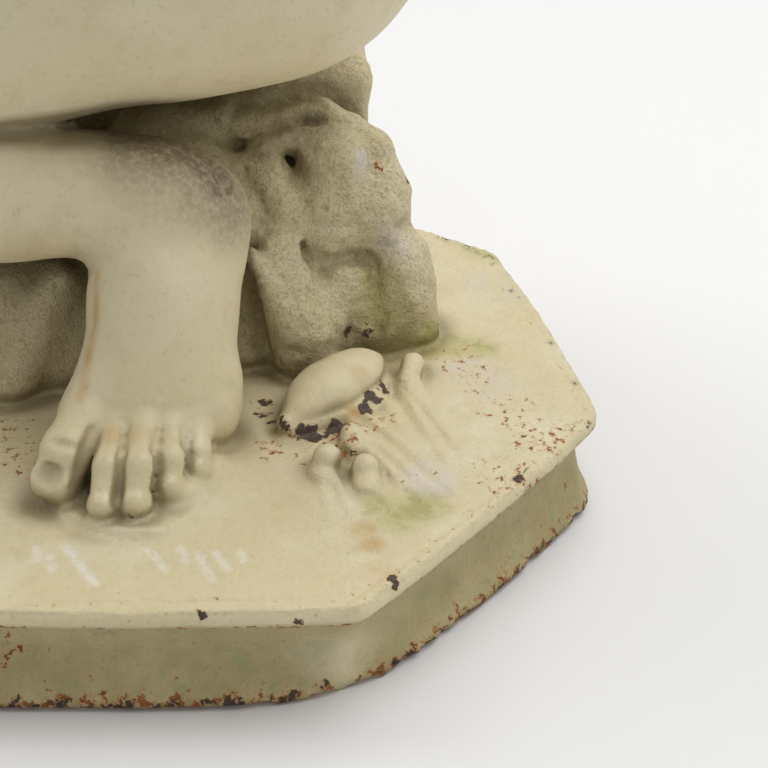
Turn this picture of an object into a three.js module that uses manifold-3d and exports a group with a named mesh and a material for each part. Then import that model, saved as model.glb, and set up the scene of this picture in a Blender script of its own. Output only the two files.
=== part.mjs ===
// Cast iron garden statue: a bather kneeling on one leg on a rock, cast in one with its rock,
// shells and eight-sided moulded plinth. Millimetres, +Z up, front towards -Y,
// origin at the middle of the underside of the plinth.
import * as THREE from 'three';
import Module from 'manifold-3d';

// ---------------------------------------------------------------- driving sizes
const TOP = 52;                 // height of the plinth
const LIP = 9;                  // depth of the rounded lip
const COVE = 9;                 // how far the cove draws in under the lip
const BOW = 2.5;                // outward bow of each plinth side
const SIDES = 6;                // steps along each plinth side
const PLINTH_CORNERS = [[146.6, -198.6], [254.4, -63.9], [215.4, 93.5], [52.0, 198.6]]; // the other four are opposite
const GRID = 7;                 // step of the surface lattice
const TARGET = 9300;            // triangles kept in the finished casting

const HIP_L = [94, 20, 243], HIP_R = [36, 119, 243];
const KNEE_L = [-186, -8, 158], KNEE_R = [-188, 112, 418];
const ANKLE_L = [62, -42, 158], ANKLE_R = [-98, 118, 108];
const PELVIS = [65, 72, 255], WAIST = [58, 70, 345], CHEST = [46, 62, 462];
const SHOULDERS = [38, 56, 580], NECK = [32, 50, 612], HEAD = [14, 26, 716];
const SHOULDER_HALF = 112;
const ELBOW_L = [154, -56, 356], WRIST_L = [-6, -34, 305];
const ELBOW_R = [-40, 160, 356], WRIST_R = [-144, 126, 474];
const FACING = { pelvis: 30, waist: 48, chest: 65, head: 72 };   // degrees round from -X towards -Y
const LEAN = { waist: 4, chest: 6, head: 16 };
const TOE_ROOTS = [[27, -112, 73], [44, -116, 74], [56, -112, 73], [68, -104, 72], [79, -95, 70]];
const TOE_TIPS = [[17, -128, 64], [41, -142, 62], [53, -136, 62], [66, -123, 61.5], [77, -112, 61]];
const TOE_RADII = [11.5, 8.3, 8.0, 7.6, 7.6];
const ROCK_LOBES = [            // centre, radii
  [104, 46, 112, 44, 52, 62], [120, 42, 140, 24, 36, 30], [136, 24, 96, 26, 26, 46], [144, 32, 116, 22, 26, 26],
  [154, 18, 74, 27, 22, 32], [104, 4, 84, 40, 26, 46], [60, 40, 110, 64, 50, 66], [-10, 60, 92, 74, 58, 60],
  [-80, 20, 76, 70, 58, 44], [-150, 4, 80, 56, 48, 46], [30, 110, 110, 80, 56, 66], [-40, 100, 84, 60, 50, 46],
  [20, 14, 82, 50, 30, 46], [120, 70, 86, 50, 40, 48], [60, -50, 52, 64, 54, 11],
];

// ---------------------------------------------------------------- small vector helpers
const add = (a, b) => [a[0] + b[0], a[1] + b[1], a[2] + b[2]];
const sub = (a, b) => [a[0] - b[0], a[1] - b[1], a[2] - b[2]];
const mul = (a, s) => [a[0] * s, a[1] * s, a[2] * s];
const dot = (a, b) => a[0] * b[0] + a[1] * b[1] + a[2] * b[2];
const cross = (a, b) => [a[1] * b[2] - a[2] * b[1], a[2] * b[0] - a[0] * b[2], a[0] * b[1] - a[1] * b[0]];
const unit = (a) => mul(a, 1 / Math.hypot(...a));
const mix = (a, b, t) => add(a, mul(sub(b, a), t));
const deg = Math.PI / 180;

// rows: the body's left, forward and up
function axes(facing, lean = 0, roll = 0) {
  const t = facing * deg, p = lean * deg, r = roll * deg;
  const f0 = [-Math.cos(t), -Math.sin(t), 0], u0 = [0, 0, 1];
  let l = cross(u0, f0);
  const f = sub(mul(f0, Math.cos(p)), mul(u0, Math.sin(p)));
  let u = cross(f, l);
  if (roll) [l, u] = [add(mul(l, Math.cos(r)), mul(u, Math.sin(r))), sub(mul(u, Math.cos(r)), mul(l, Math.sin(r)))];
  return [l, f, u];
}
const at = (M, c, v) => [0, 1, 2].map((i) => c[i] + v[0] * M[0][i] + v[1] * M[1][i] + v[2] * M[2][i]);

// ---------------------------------------------------------------- the form as a distance field
// Every shape is a function of the current point; blend() joins with a fillet of width k.
let X = 0, Y = 0, Z = 0;
const blend = (a, b, k) => {
  const h = Math.min(1, Math.max(0, 0.5 + 0.5 * (b - a) / k));
  return b + (a - b) * h - k * h * (1 - h);
};
const carve = (a, b, k) => -blend(-a, b, k);
const cone = (a, b, ra, rb) => {
  const ux = b[0] - a[0], uy = b[1] - a[1], uz = b[2] - a[2];
  const qx = X - a[0], qy = Y - a[1], qz = Z - a[2];
  const t = Math.min(1, Math.max(0, (qx * ux + qy * uy + qz * uz) / (ux * ux + uy * uy + uz * uz)));
  return Math.hypot(qx - t * ux, qy - t * uy, qz - t * uz) - (ra + (rb - ra) * t);
};
const egg = (c, r, M) => {
  let x = X - c[0], y = Y - c[1], z = Z - c[2];
  if (M) [x, y, z] = [dot(M[0], [x, y, z]), dot(M[1], [x, y, z]), dot(M[2], [x, y, z])];
  const k0 = Math.hypot(x / r[0], y / r[1], z / r[2]);
  const k1 = Math.hypot(x / (r[0] * r[0]), y / (r[1] * r[1]), z / (r[2] * r[2]));
  return k0 * (k0 - 1) / Math.max(k1, 1e-9);
};
// a part of the form is only worked out near its own box
const REACH = 32;
const near = (lo, hi, shape) => {
  const d = Math.hypot(Math.max(lo[0] - X, X - hi[0], 0), Math.max(lo[1] - Y, Y - hi[1], 0), Math.max(lo[2] - Z, Z - hi[2], 0));
  return d < REACH ? shape() : d;
};

const AP = axes(FACING.pelvis), AW = axes(FACING.waist, LEAN.waist), AC = axes(FACING.chest, LEAN.chest);
const AH = axes(FACING.head, LEAN.head, -4);
const SHOULDER_L = add(SHOULDERS, add(mul(AC[0], SHOULDER_HALF), [0, 0, -4]));
const SHOULDER_R = add(SHOULDERS, add(mul(AC[0], -SHOULDER_HALF), [0, 0, -4]));

function torso() {
  let d = egg(CHEST, [98, 70, 112], AC);
  d = blend(d, cone(at(AC, CHEST, [-92, -6, 108]), at(AC, CHEST, [92, -6, 108]), 36, 36), 30);
  d = blend(d, egg(WAIST, [76, 58, 90], AW), 34);
  d = blend(d, egg(PELVIS, [100, 72, 80], AP), 34);
  for (const s of [-1, 1]) {
    d = blend(d, egg(at(AC, CHEST, [42 * s, 50, 22]), [35, 30, 34], AC), 18);
    d = blend(d, cone(at(AC, NECK, [8 * s, -10, 14]), at(AC, CHEST, [96 * s, -10, 116]), 24, 24), 22);
    d = blend(d, egg(at(AC, CHEST, [50 * s, -44, 46]), [42, 26, 56], AC), 24);
  }
  d = blend(d, egg(at(AW, WAIST, [0, 28, -30]), [58, 34, 60], AW), 26);
  for (const [s, e] of [[SHOULDER_L, ELBOW_L], [SHOULDER_R, ELBOW_R]]) d = blend(d, cone(s, mix(s, e, 0.4), 37, 32), 26);
  return blend(d, cone(NECK, add(HEAD, [4, 6, -40]), 37, 33), 22);
}
function thighLeft() {
  let d = egg(add(HIP_L, [4, 4, 0]), [76, 74, 78]);
  d = blend(d, cone(add(HIP_L, [-10, -2, 0]), add(KNEE_L, [10, 0, 14]), 72, 45), 26);
  return blend(d, egg(KNEE_L, [44, 42, 42]), 16);
}
function toes(roots, tips) {
  let q = 1e9;
  roots.forEach((b, i) => {
    const t = tips[i], r = TOE_RADII[i], m = add(mix(b, t, 0.5), [0, 0, 3]);
    q = Math.min(q, blend(cone(b, m, r, r * 0.94), cone(m, t, r * 0.9, r * 0.98), 3));
  });
  return q;
}
function shinLeft() {
  let s = egg([-92, -26, 150], [88, 35, 36]);
  s = blend(s, cone(add(KNEE_L, [0, 0, -8]), [-10, -38, 151], 38, 28), 22);
  s = blend(s, cone([-10, -38, 151], ANKLE_L, 28, 29), 14);
  const mid = [60, -58, 118];
  let d = cone([62, -44, 150], [62, -60, 116], 30, 27);
  d = blend(d, egg([82, -24, 146], [20, 26, 34]), 14);
  TOE_ROOTS.forEach((b, i) => { d = blend(d, cone(mix(mid, b, 0.1), add(b, [0, 4, -1]), 22, TOE_RADII[i] + 2.5), 12); });
  d = blend(d, cone([30, -100, 70], [74, -84, 68], 13, 12), 12);
  return blend(s, blend(d, toes(TOE_ROOTS, TOE_TIPS), 5), 10);
}
const CALF_R = [unit([1, 0, 0.3]), [0, 1, 0], unit([-0.3, 0, 1])];
const TOE_ROOTS_R = [[-186, 96, 66], [-190, 110, 66], [-188, 122, 65], [-184, 133, 64], [-178, 144, 63]];
const TOE_TIPS_R = [[-214, 92, 62], [-220, 109, 61], [-216, 123, 61], [-209, 136, 61], [-200, 148, 61]];
function legRight() {
  let d = egg(HIP_R, [72, 72, 76]);
  d = blend(d, cone(add(HIP_R, [-8, 0, 6]), add(KNEE_R, [8, 0, -6]), 70, 44), 26);
  d = blend(d, egg(KNEE_R, [42, 42, 44]), 16);
  d = blend(d, cone(add(KNEE_R, [0, 0, -10]), [-116, 120, 190], 38, 28), 20);
  d = blend(d, egg([-148, 122, 300], [36, 36, 84], CALF_R), 22);
  d = blend(d, cone([-116, 120, 190], ANKLE_R, 28, 27), 14);
  d = blend(d, egg([-76, 120, 80], [26, 24, 28]), 12);
  for (const b of TOE_ROOTS_R) d = blend(d, cone([-112, 120, 92], b, 24, 11), 12);
  d = blend(d, cone([-80, 120, 66], [-150, 120, 64], 17, 17), 12);
  return blend(d, toes(TOE_ROOTS_R, TOE_TIPS_R), 5);
}
function hand(w, along, palm, side, spread, curl) {
  const f = unit(along), n = unit(sub(palm, mul(f, dot(palm, f)))), a = mul(cross(n, f), side), M = [a, f, n];
  const to = (x, y, z) => at(M, [0, 0, 0], [x, y, z]);
  let d = egg(add(w, to(0, 34, 0)), [30, 38, 13], M);
  d = blend(d, cone(w, add(w, to(0, 16, 0)), 19, 18), 10);
  let q = 1e9;
  for (const [o, ln, r] of [[22, 50, 7.2], [8, 56, 7.6], [-7, 52, 7.2], [-21, 41, 6.4]]) {
    const b = add(w, to(o, 60, 0));
    const m = add(b, mul(unit(to(spread * o / 22, 1, curl * 0.5)), ln * 0.52));
    const t = add(m, mul(unit(to(spread * o / 22, 1, curl * 2.2)), ln * 0.48));
    q = Math.min(q, blend(cone(b, m, r * 1.05, r * 0.95), cone(m, t, r * 0.95, r * 0.8), 3));
  }
  d = blend(d, q, 5);
  const b = add(w, to(24, 22, 0)), m = add(b, mul(unit(to(0.8, 0.8, 0.25)), 28)), t = add(m, mul(unit(to(0.25, 1, 0.3)), 24));
  return blend(d, blend(cone(b, m, 10.5, 9), cone(m, t, 9, 7), 4), 7);
}
function arm(shoulder, elbow, wrist, held) {
  let d = cone(shoulder, elbow, 36, 27);
  const e = blend(cone(elbow, wrist, 28, 18.5), cone(elbow, mix(elbow, wrist, 0.45), 28, 27), 8);
  return blend(blend(d, e, 10), held(), 8);
}
const armLeft = () => arm(SHOULDER_L, ELBOW_L, WRIST_L, () => hand(WRIST_L, [-1, 0.1, -0.22], [0, 0.12, -1], -1, 0.12, 0.12));
const armRight = () => arm(SHOULDER_R, ELBOW_R, WRIST_R, () => hand(WRIST_R, [-1, -0.2, -0.28], [-0.15, 0, -1], 1, 0.14, 0.5));
function head() {
  const g = (x, y, z) => at(AH, HEAD, [x, y, z]);
  let d = egg(g(0, -10, 18), [56, 68, 62], AH);
  d = blend(d, egg(g(0, 20, -18), [45, 44, 64], AH), 14);
  d = blend(d, egg(g(0, 44, -66), [20, 16, 14], AH), 16);
  for (const s of [-1, 1]) {
    d = blend(d, egg(g(30 * s, 40, -20), [18, 18, 22], AH), 12);
    d = blend(d, cone(g(44 * s, 2, -38), g(16 * s, 44, -66), 13, 11), 14);
  }
  d = blend(d, cone(g(-22, 56, 16), g(22, 56, 16), 8, 8), 9);
  for (const s of [-1, 1]) {
    d = carve(d, egg(g(21 * s, 70, -3), [13, 12, 9], AH), 6);
    d = blend(d, egg(g(20.5 * s, 54, -4), [11, 10, 9], AH), 2);
  }
  d = blend(d, cone(g(0, 62, 8), g(0, 74, -22), 5, 6.5), 7);
  d = blend(d, egg(g(0, 56, -46), [18, 14, 14], AH), 8);
  d = blend(d, egg(g(0, 66, -45), [14, 6, 7], AH), 4);
  for (const s of [-1, 1]) d = blend(d, egg(g(55 * s, -6, -8), [6, 12, 19], AH), 5);
  let h = blend(egg(g(0, -14, 26), [62, 72, 64], AH), egg(g(0, -26, -4), [60, 58, 56], AH), 12);
  h = carve(h, egg(g(0, 52, -32), [50, 62, 76], AH), 5);
  h = blend(h, egg(g(0, -92, 8), [32, 28, 32], AH), 8);
  return blend(d, h, 3);
}
function rock() {
  let d = 1e9;
  for (const [x, y, z, a, b, c] of ROCK_LOBES) {
    const e = egg([x, y, z], [a, b, c]);
    d = d > 1e8 ? e : blend(d, e, 10);
  }
  return d;
}
function form() {
  let d = near([-90, -70, 160], [200, 215, 690], torso);
  d = blend(d, near([-235, -60, 110], [180, 100, 325], thighLeft), 28);
  d = blend(d, near([-240, 40, 50], [115, 200, 470], legRight), 14);
  d = blend(d, near([-235, -155, 50], [110, 30, 210], shinLeft), 4);
  d = blend(d, near([-130, -100, 260], [200, 50, 630], armLeft), 9);
  d = blend(d, near([-290, 60, 300], [-20, 210, 630], armRight), 9);
  d = blend(d, near([-80, -60, 600], [120, 150, 820], head), 8);
  d = blend(d, near([-215, -110, 30], [190, 170, 185], rock), 4);
  return Math.max(d, (TOP - 9) - Z);       // sunk a little into the plinth, which it is cast with
}

// ---------------------------------------------------------------- surface of the field
// The lattice cells are cut into six tetrahedra, which always gives one closed skin.
function skin(lo, hi, step) {
  const n = [0, 1, 2].map((i) => Math.ceil((hi[i] - lo[i]) / step) + 1);
  const id = (i, j, k) => (i * n[1] + j) * n[2] + k;
  const v = new Float64Array(n[0] * n[1] * n[2]).fill(NaN);
  const value = (i, j, k) => {
    const q = id(i, j, k);
    if (Number.isNaN(v[q])) {
      X = lo[0] + i * step; Y = lo[1] + j * step; Z = lo[2] + k * step;
      v[q] = form() || 1e-6;
    }
    return v[q];
  };
  const B = 4;                              // coarse blocks that the surface can't reach are skipped
  const verts = [], tris = [], seen = new Map();
  const corner = (q) => [Math.floor(q / (n[1] * n[2])), Math.floor(q / n[2]) % n[1], q % n[2]];
  const cut = (a, b) => {
    if (a > b) [a, b] = [b, a];
    const key = a * 8e6 + b;
    let s = seen.get(key);
    if (s === undefined) {
      const t = Math.min(0.96, Math.max(0.04, v[a] / (v[a] - v[b]))), p = corner(a), r = corner(b);
      s = verts.length / 3;
      verts.push(...[0, 1, 2].map((i) => lo[i] + step * (p[i] + (r[i] - p[i]) * t)));
      seen.set(key, s);
    }
    return s;
  };
  const TETS = [[0, 5, 1, 6], [0, 1, 2, 6], [0, 2, 3, 6], [0, 3, 7, 6], [0, 7, 4, 6], [0, 4, 5, 6]];
  const CUBE = [[0, 0, 0], [1, 0, 0], [1, 1, 0], [0, 1, 0], [0, 0, 1], [1, 0, 1], [1, 1, 1], [0, 1, 1]];
  for (let bi = 0; bi < n[0] - 1; bi += B) for (let bj = 0; bj < n[1] - 1; bj += B) for (let bk = 0; bk < n[2] - 1; bk += B) {
    const c = [bi, bj, bk].map((b, i) => Math.min(b + B / 2, n[i] - 1));
    if (Math.abs(value(...c)) > B * step * 1.25) continue;
    for (let i = bi; i < Math.min(bi + B, n[0] - 1); i++) for (let j = bj; j < Math.min(bj + B, n[1] - 1); j++) for (let k = bk; k < Math.min(bk + B, n[2] - 1); k++) {
      const q = CUBE.map(([a, b, e]) => { value(i + a, j + b, k + e); return id(i + a, j + b, k + e); });
      for (const t of TETS) {
        const w = t.map((m) => q[m]), inside = w.filter((m) => v[m] < 0), outside = w.filter((m) => v[m] >= 0);
        if (!inside.length || !outside.length) continue;
        const p = [];
        if (inside.length === 1) p.push(outside.map((o) => cut(inside[0], o)));
        else if (inside.length === 3) p.push(inside.map((m) => cut(m, outside[0])));
        else {
          const [a, b] = inside, [e, f] = outside;
          p.push([cut(a, e), cut(a, f), cut(b, f)], [cut(a, e), cut(b, f), cut(b, e)]);
        }
        const I = corner(inside[0]), O = corner(outside[0]);
        for (const f of p) {
          const P = f.map((m) => verts.slice(3 * m, 3 * m + 3));
          const nrm = cross(sub(P[1], P[0]), sub(P[2], P[0]));
          // faces look from the inside corners to the outside ones
          const out = outside.reduce((s, m) => add(s, corner(m)), [0, 0, 0]).map((s) => s / outside.length);
          const inn = inside.reduce((s, m) => add(s, corner(m)), [0, 0, 0]).map((s) => s / inside.length);
          if (dot(nrm, sub(out, inn)) < 0) f.reverse();
          tris.push(...f);
        }
      }
    }
  }
  return { verts, tris };
}

// ---------------------------------------------------------------- fewer, better placed faces
// Edges are drawn together in order of how little they move the planes around them.
function simplify(verts, tris, target) {
  const nv = verts.length / 3, V = Float64Array.from(verts), F = Int32Array.from(tris), nf = F.length / 3;
  const Q = new Float64Array(nv * 10), live = new Uint8Array(nf).fill(1), faces = Array.from({ length: nv }, () => []);
  const P = (i) => [V[3 * i], V[3 * i + 1], V[3 * i + 2]];
  for (let f = 0; f < nf; f++) {
    const [a, b, c] = [F[3 * f], F[3 * f + 1], F[3 * f + 2]];
    for (const i of [a, b, c]) faces[i].push(f);
    const m = cross(sub(P(b), P(a)), sub(P(c), P(a))), area = Math.hypot(...m);
    if (area < 1e-12) continue;
    const [x, y, z] = mul(m, 1 / area), d = -dot([x, y, z], P(a)), w = area;
    const k = [x * x, x * y, x * z, x * d, y * y, y * z, y * d, z * z, z * d, d * d];
    for (const i of [a, b, c]) for (let j = 0; j < 10; j++) Q[10 * i + j] += k[j] * w;
  }
  const cost = (q, p) => {
    const [x, y, z] = p;
    return q[0] * x * x + 2 * q[1] * x * y + 2 * q[2] * x * z + 2 * q[3] * x + q[4] * y * y + 2 * q[5] * y * z + 2 * q[6] * y + q[7] * z * z + 2 * q[8] * z + q[9];
  };
  const plan = (a, b) => {
    const q = []; for (let j = 0; j < 10; j++) q.push(Q[10 * a + j] + Q[10 * b + j]);
    const pa = P(a), pb = P(b), opts = [pa, pb, mix(pa, pb, 0.5)];
    const [m00, m01, m02, , m11, m12, , m22] = q;
    const det = m00 * (m11 * m22 - m12 * m12) - m01 * (m01 * m22 - m12 * m02) + m02 * (m01 * m12 - m11 * m02);
    const tr = (m00 + m11 + m22) / 3;
    if (Math.abs(det) > 1e-3 * tr * tr * tr) {
      const r = [-q[3], -q[6], -q[8]];
      const s = [
        (r[0] * (m11 * m22 - m12 * m12) - m01 * (r[1] * m22 - m12 * r[2]) + m02 * (r[1] * m12 - m11 * r[2])) / det,
        (m00 * (r[1] * m22 - r[2] * m12) - r[0] * (m01 * m22 - m12 * m02) + m02 * (m01 * r[2] - r[1] * m02)) / det,
        (m00 * (m11 * r[2] - m12 * r[1]) - m01 * (m01 * r[2] - r[1] * m02) + r[0] * (m01 * m12 - m11 * m02)) / det];
      if (Math.hypot(...sub(s, opts[2])) < 1.5 * Math.hypot(...sub(pa, pb))) opts.push(s);
    }
    let best = null;
    for (const p of opts) { const c = cost(q, p); if (!best || c < best.c) best = { c, p }; }
    return { c: best.c + 1e-4 * Math.hypot(...sub(pa, pb)) ** 2, p: best.p };
  };
  const heap = [], stamp = new Uint32Array(nv);
  const push = (e) => { let i = heap.length; heap.push(e); while (i) { const p = (i - 1) >> 1; if (heap[p].c <= e.c) break; heap[i] = heap[p]; i = p; } heap[i] = e; };
  const pop = () => {
    const top = heap[0], e = heap.pop();
    if (heap.length) { let i = 0; for (;;) { let k = 2 * i + 1; if (k >= heap.length) break; if (k + 1 < heap.length && heap[k + 1].c < heap[k].c) k++; if (heap[k].c >= e.c) break; heap[i] = heap[k]; i = k; } heap[i] = e; }
    return top;
  };
  const ring = (v) => { const s = new Set(); for (const f of faces[v]) if (live[f]) for (let k = 0; k < 3; k++) { const w = F[3 * f + k]; if (w !== v) s.add(w); } return s; };
  const queue = (a, b) => { const { c, p } = plan(a, b); push({ c, p, a, b, s: stamp[a] + stamp[b] }); };
  for (let f = 0; f < nf; f++) for (let k = 0; k < 3; k++) { const a = F[3 * f + k], b = F[3 * f + (k + 1) % 3]; if (a < b) queue(a, b); }
  let count = nf;
  const dead = new Uint8Array(nv);
  while (count > target && heap.length) {
    const e = pop();
    if (dead[e.a] || dead[e.b] || e.s !== stamp[e.a] + stamp[e.b]) continue;
    const ra = ring(e.a), rb = ring(e.b);
    let common = 0; for (const w of ra) if (rb.has(w)) common++;
    if (common !== 2 || ra.size + rb.size < 8) continue;
    let ok = true;
    for (const [v, o] of [[e.a, e.b], [e.b, e.a]]) {
      for (const f of faces[v]) {
        if (!live[f]) continue;
        const t = [F[3 * f], F[3 * f + 1], F[3 * f + 2]];
        if (t.includes(o)) continue;
        const before = t.map(P), after = t.map((i) => (i === v ? e.p : P(i)));
        const m = cross(sub(before[1], before[0]), sub(before[2], before[0])), w = cross(sub(after[1], after[0]), sub(after[2], after[0]));
        const lw = Math.hypot(...w), lm = Math.hypot(...m);
        const longest = Math.max(Math.hypot(...sub(after[1], after[0])), Math.hypot(...sub(after[2], after[1])), Math.hypot(...sub(after[0], after[2])));
        if (lw < 1e-6 || (lm > 1e-6 && dot(m, w) < 0.25 * lm * lw) || lw / longest < 0.12) { ok = false; break; }
      }
      if (!ok) break;
    }
    if (!ok) continue;
    for (const f of faces[e.a]) if (live[f] && (F[3 * f] === e.b || F[3 * f + 1] === e.b || F[3 * f + 2] === e.b)) { live[f] = 0; count--; }
    for (const f of faces[e.b]) if (live[f]) { for (let k = 0; k < 3; k++) if (F[3 * f + k] === e.b) F[3 * f + k] = e.a; faces[e.a].push(f); }
    faces[e.a] = faces[e.a].filter((f) => live[f]);
    dead[e.b] = 1; faces[e.b] = [];
    for (let j = 0; j < 10; j++) Q[10 * e.a + j] += Q[10 * e.b + j];
    [V[3 * e.a], V[3 * e.a + 1], V[3 * e.a + 2]] = e.p;
    stamp[e.a] += 1;
    for (const w of ring(e.a)) { stamp[w] += 0; queue(Math.min(e.a, w), Math.max(e.a, w)); }
  }
  const map = new Int32Array(nv).fill(-1), outV = [], outT = [];
  for (let f = 0; f < nf; f++) if (live[f]) for (let k = 0; k < 3; k++) {
    const i = F[3 * f + k];
    if (map[i] < 0) { map[i] = outV.length / 3; outV.push(...P(i)); }
    outT.push(map[i]);
  }
  return { verts: outV, tris: outT };
}

// ---------------------------------------------------------------- plinth
function plinthRing() {
  const c = [...PLINTH_CORNERS, ...PLINTH_CORNERS.map(([x, y]) => [-x, -y])], ring = [];
  c.forEach((a, i) => {
    const b = c[(i + 1) % c.length], len = Math.hypot(b[0] - a[0], b[1] - a[1]), n = [(b[1] - a[1]) / len, -(b[0] - a[0]) / len];
    for (let s = 0; s < SIDES; s++) {
      const t = s / SIDES, w = 4 * BOW * t * (1 - t) - BOW * 0.6;
      const corner = s === 0;
      ring.push({ x: a[0] + (b[0] - a[0]) * t + n[0] * (corner ? 0 : w), y: a[1] + (b[1] - a[1]) * t + n[1] * (corner ? 0 : w) });
    }
  });
  // outward direction that keeps each side's inset even
  return ring.map((p, i) => {
    const q = ring[(i + ring.length - 1) % ring.length], r = ring[(i + 1) % ring.length];
    const e = [unit([p.x - q.x, p.y - q.y, 0]), unit([r.x - p.x, r.y - p.y, 0])];
    const n = unit([e[0][1] + e[1][1], -e[0][0] - e[1][0], 0]), c = n[0] * e[0][1] - n[1] * e[0][0];
    return { ...p, nx: n[0] / c, ny: n[1] / c };
  });
}
function plinth() {
  // inset and height up the moulding: foot, long cove, lip with a rounded edge and a sunk line inside it
  const profile = [[0.6, 0], [0, 2], [0.8, 5], [3.4, 13], [6.6, 23], [COVE - 0.4, 33], [COVE, TOP - LIP - 4], [COVE - 2, TOP - LIP - 1], [1.4, TOP - LIP + 0.6], [0, TOP - LIP + 3.4], [0.4, TOP - 2.4], [2.2, TOP]];
  const ring = plinthRing(), m = ring.length, verts = [], tris = [];
  for (const [inset, z] of profile) for (const p of ring) verts.push(p.x - inset * p.nx, p.y - inset * p.ny, z);
  for (let k = 0; k < profile.length - 1; k++) for (let i = 0; i < m; i++) {
    const a = k * m + i, b = k * m + (i + 1) % m, c = a + m, d = b + m;
    tris.push(a, b, d, a, d, c);
  }
  const lowMid = verts.length / 3, topMid = lowMid + 1, last = (profile.length - 1) * m;
  verts.push(0, 0, 0, 0, 0, TOP);
  for (let i = 0; i < m; i++) {
    const j = (i + 1) % m;
    tris.push(lowMid, j, i, topMid, last + i, last + j);
  }
  return { verts, tris };
}

// ---------------------------------------------------------------- shell, pebbles and weed on the plinth top
function placed(geometry, position, rotation) {
  const g = geometry.clone();
  g.applyMatrix4(new THREE.Matrix4().compose(new THREE.Vector3(...position), new THREE.Quaternion().setFromEuler(new THREE.Euler(...rotation)), new THREE.Vector3(1, 1, 1)));
  return g;
}
function ball(rx, ry, rz, w = 14, h = 8) {
  return new THREE.SphereGeometry(1, w, h).scale(rx, ry, rz);
}
const SHELL = { at: [130, -57, 60], half: [37, 21, 13], turn: 52 };
const shoreline = [
  placed(ball(...SHELL.half, 18, 10), SHELL.at, [0.12, 0, SHELL.turn * deg]),
  placed(ball(SHELL.half[0] * 0.96, SHELL.half[1] * 1.05, 7), [134, -60, 53], [0, 0, SHELL.turn * deg]),
  placed(ball(7.5, 7, 7), [130.6, -105.6, 55], [0, 0, 0]),
  placed(ball(7, 6.5, 6), [147.4, -112.2, 54.5], [0, 0, 0]),
  placed(ball(8, 7, 7), [168, -30, 55], [0, 0, 0]),
];
for (let i = 0; i < 5; i++) {           // ribs of weed fanning out from the knob
  const a = (-128 + 22 * i) * deg, len = 62 - 6 * Math.abs(i - 2);
  shoreline.push(placed(ball(len / 2, 4.4, 3.2, 12, 6), [168 + Math.cos(a) * len / 2 + 4, -32 + Math.sin(a) * len / 2, 52.5], [0, 0, a]));
}

// ---------------------------------------------------------------- join into the one casting
const wasm = await Module();
wasm.setup();
const solid = ({ verts, tris }) => new wasm.Manifold(new wasm.Mesh({ numProp: 3, vertProperties: Float32Array.from(verts), triVerts: Uint32Array.from(tris) }));
function closedFromGeometry(g) {
  const p = g.attributes.position, idx = g.index ? Array.from(g.index.array) : [...Array(p.count).keys()];
  const verts = [], map = new Map(), to = [];
  for (let i = 0; i < p.count; i++) {
    const k = [p.getX(i), p.getY(i), p.getZ(i)], key = k.map((c) => c.toFixed(3)).join();
    if (!map.has(key)) { map.set(key, verts.length / 3); verts.push(...k); }
    to.push(map.get(key));
  }
  const tris = [];
  for (let i = 0; i < idx.length; i += 3) {
    const [a, b, c] = [to[idx[i]], to[idx[i + 1]], to[idx[i + 2]]];
    if (a !== b && b !== c && c !== a) tris.push(a, b, c);
  }
  return { verts, tris };
}
let body = solid(skin([-300, -170, TOP - 26], [215, 220, 836], GRID));
body = body.add(solid(plinth()));
for (const g of shoreline) body = body.add(solid(closedFromGeometry(g)));
const joined = body.getMesh();
const raw = [];
for (let i = 0; i < joined.vertProperties.length / joined.numProp; i++) for (let k = 0; k < 3; k++) raw.push(joined.vertProperties[i * joined.numProp + k]);
// pockets closed in between the rock's lobes are filled: only the outer skin is kept
function outerSkin(tris, count) {
  const root = Int32Array.from({ length: count }, (_, i) => i);
  const find = (i) => { while (root[i] !== i) { root[i] = root[root[i]]; i = root[i]; } return i; };
  for (let i = 0; i < tris.length; i += 3) { root[find(tris[i])] = find(tris[i + 1]); root[find(tris[i + 1])] = find(tris[i + 2]); }
  const size = new Map();
  for (let i = 0; i < tris.length; i += 3) { const r = find(tris[i]); size.set(r, (size.get(r) || 0) + 1); }
  const outer = [...size].sort((a, b) => b[1] - a[1])[0][0], kept = [];
  for (let i = 0; i < tris.length; i += 3) if (find(tris[i]) === outer) kept.push(tris[i], tris[i + 1], tris[i + 2]);
  return kept;
}
const cast = simplify(raw, outerSkin(Array.from(joined.triVerts), raw.length / 3), TARGET);
for (let i = 2; i < cast.verts.length; i += 3) for (const flat of [0, TOP]) if (Math.abs(cast.verts[i] - flat) < 0.02) cast.verts[i] = flat;

const geometry = new THREE.BufferGeometry();
geometry.setAttribute('position', new THREE.Float32BufferAttribute(cast.verts, 3));
geometry.setIndex(cast.tris);
geometry.computeVertexNormals();
const statue = new THREE.Mesh(geometry, new THREE.MeshStandardMaterial({ name: 'painted_iron', color: 0xd8d0b4, roughness: 0.62, metalness: 0.0 }));
statue.name = 'statue_casting';
const group = new THREE.Group();
group.add(statue);
export default group;
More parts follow.
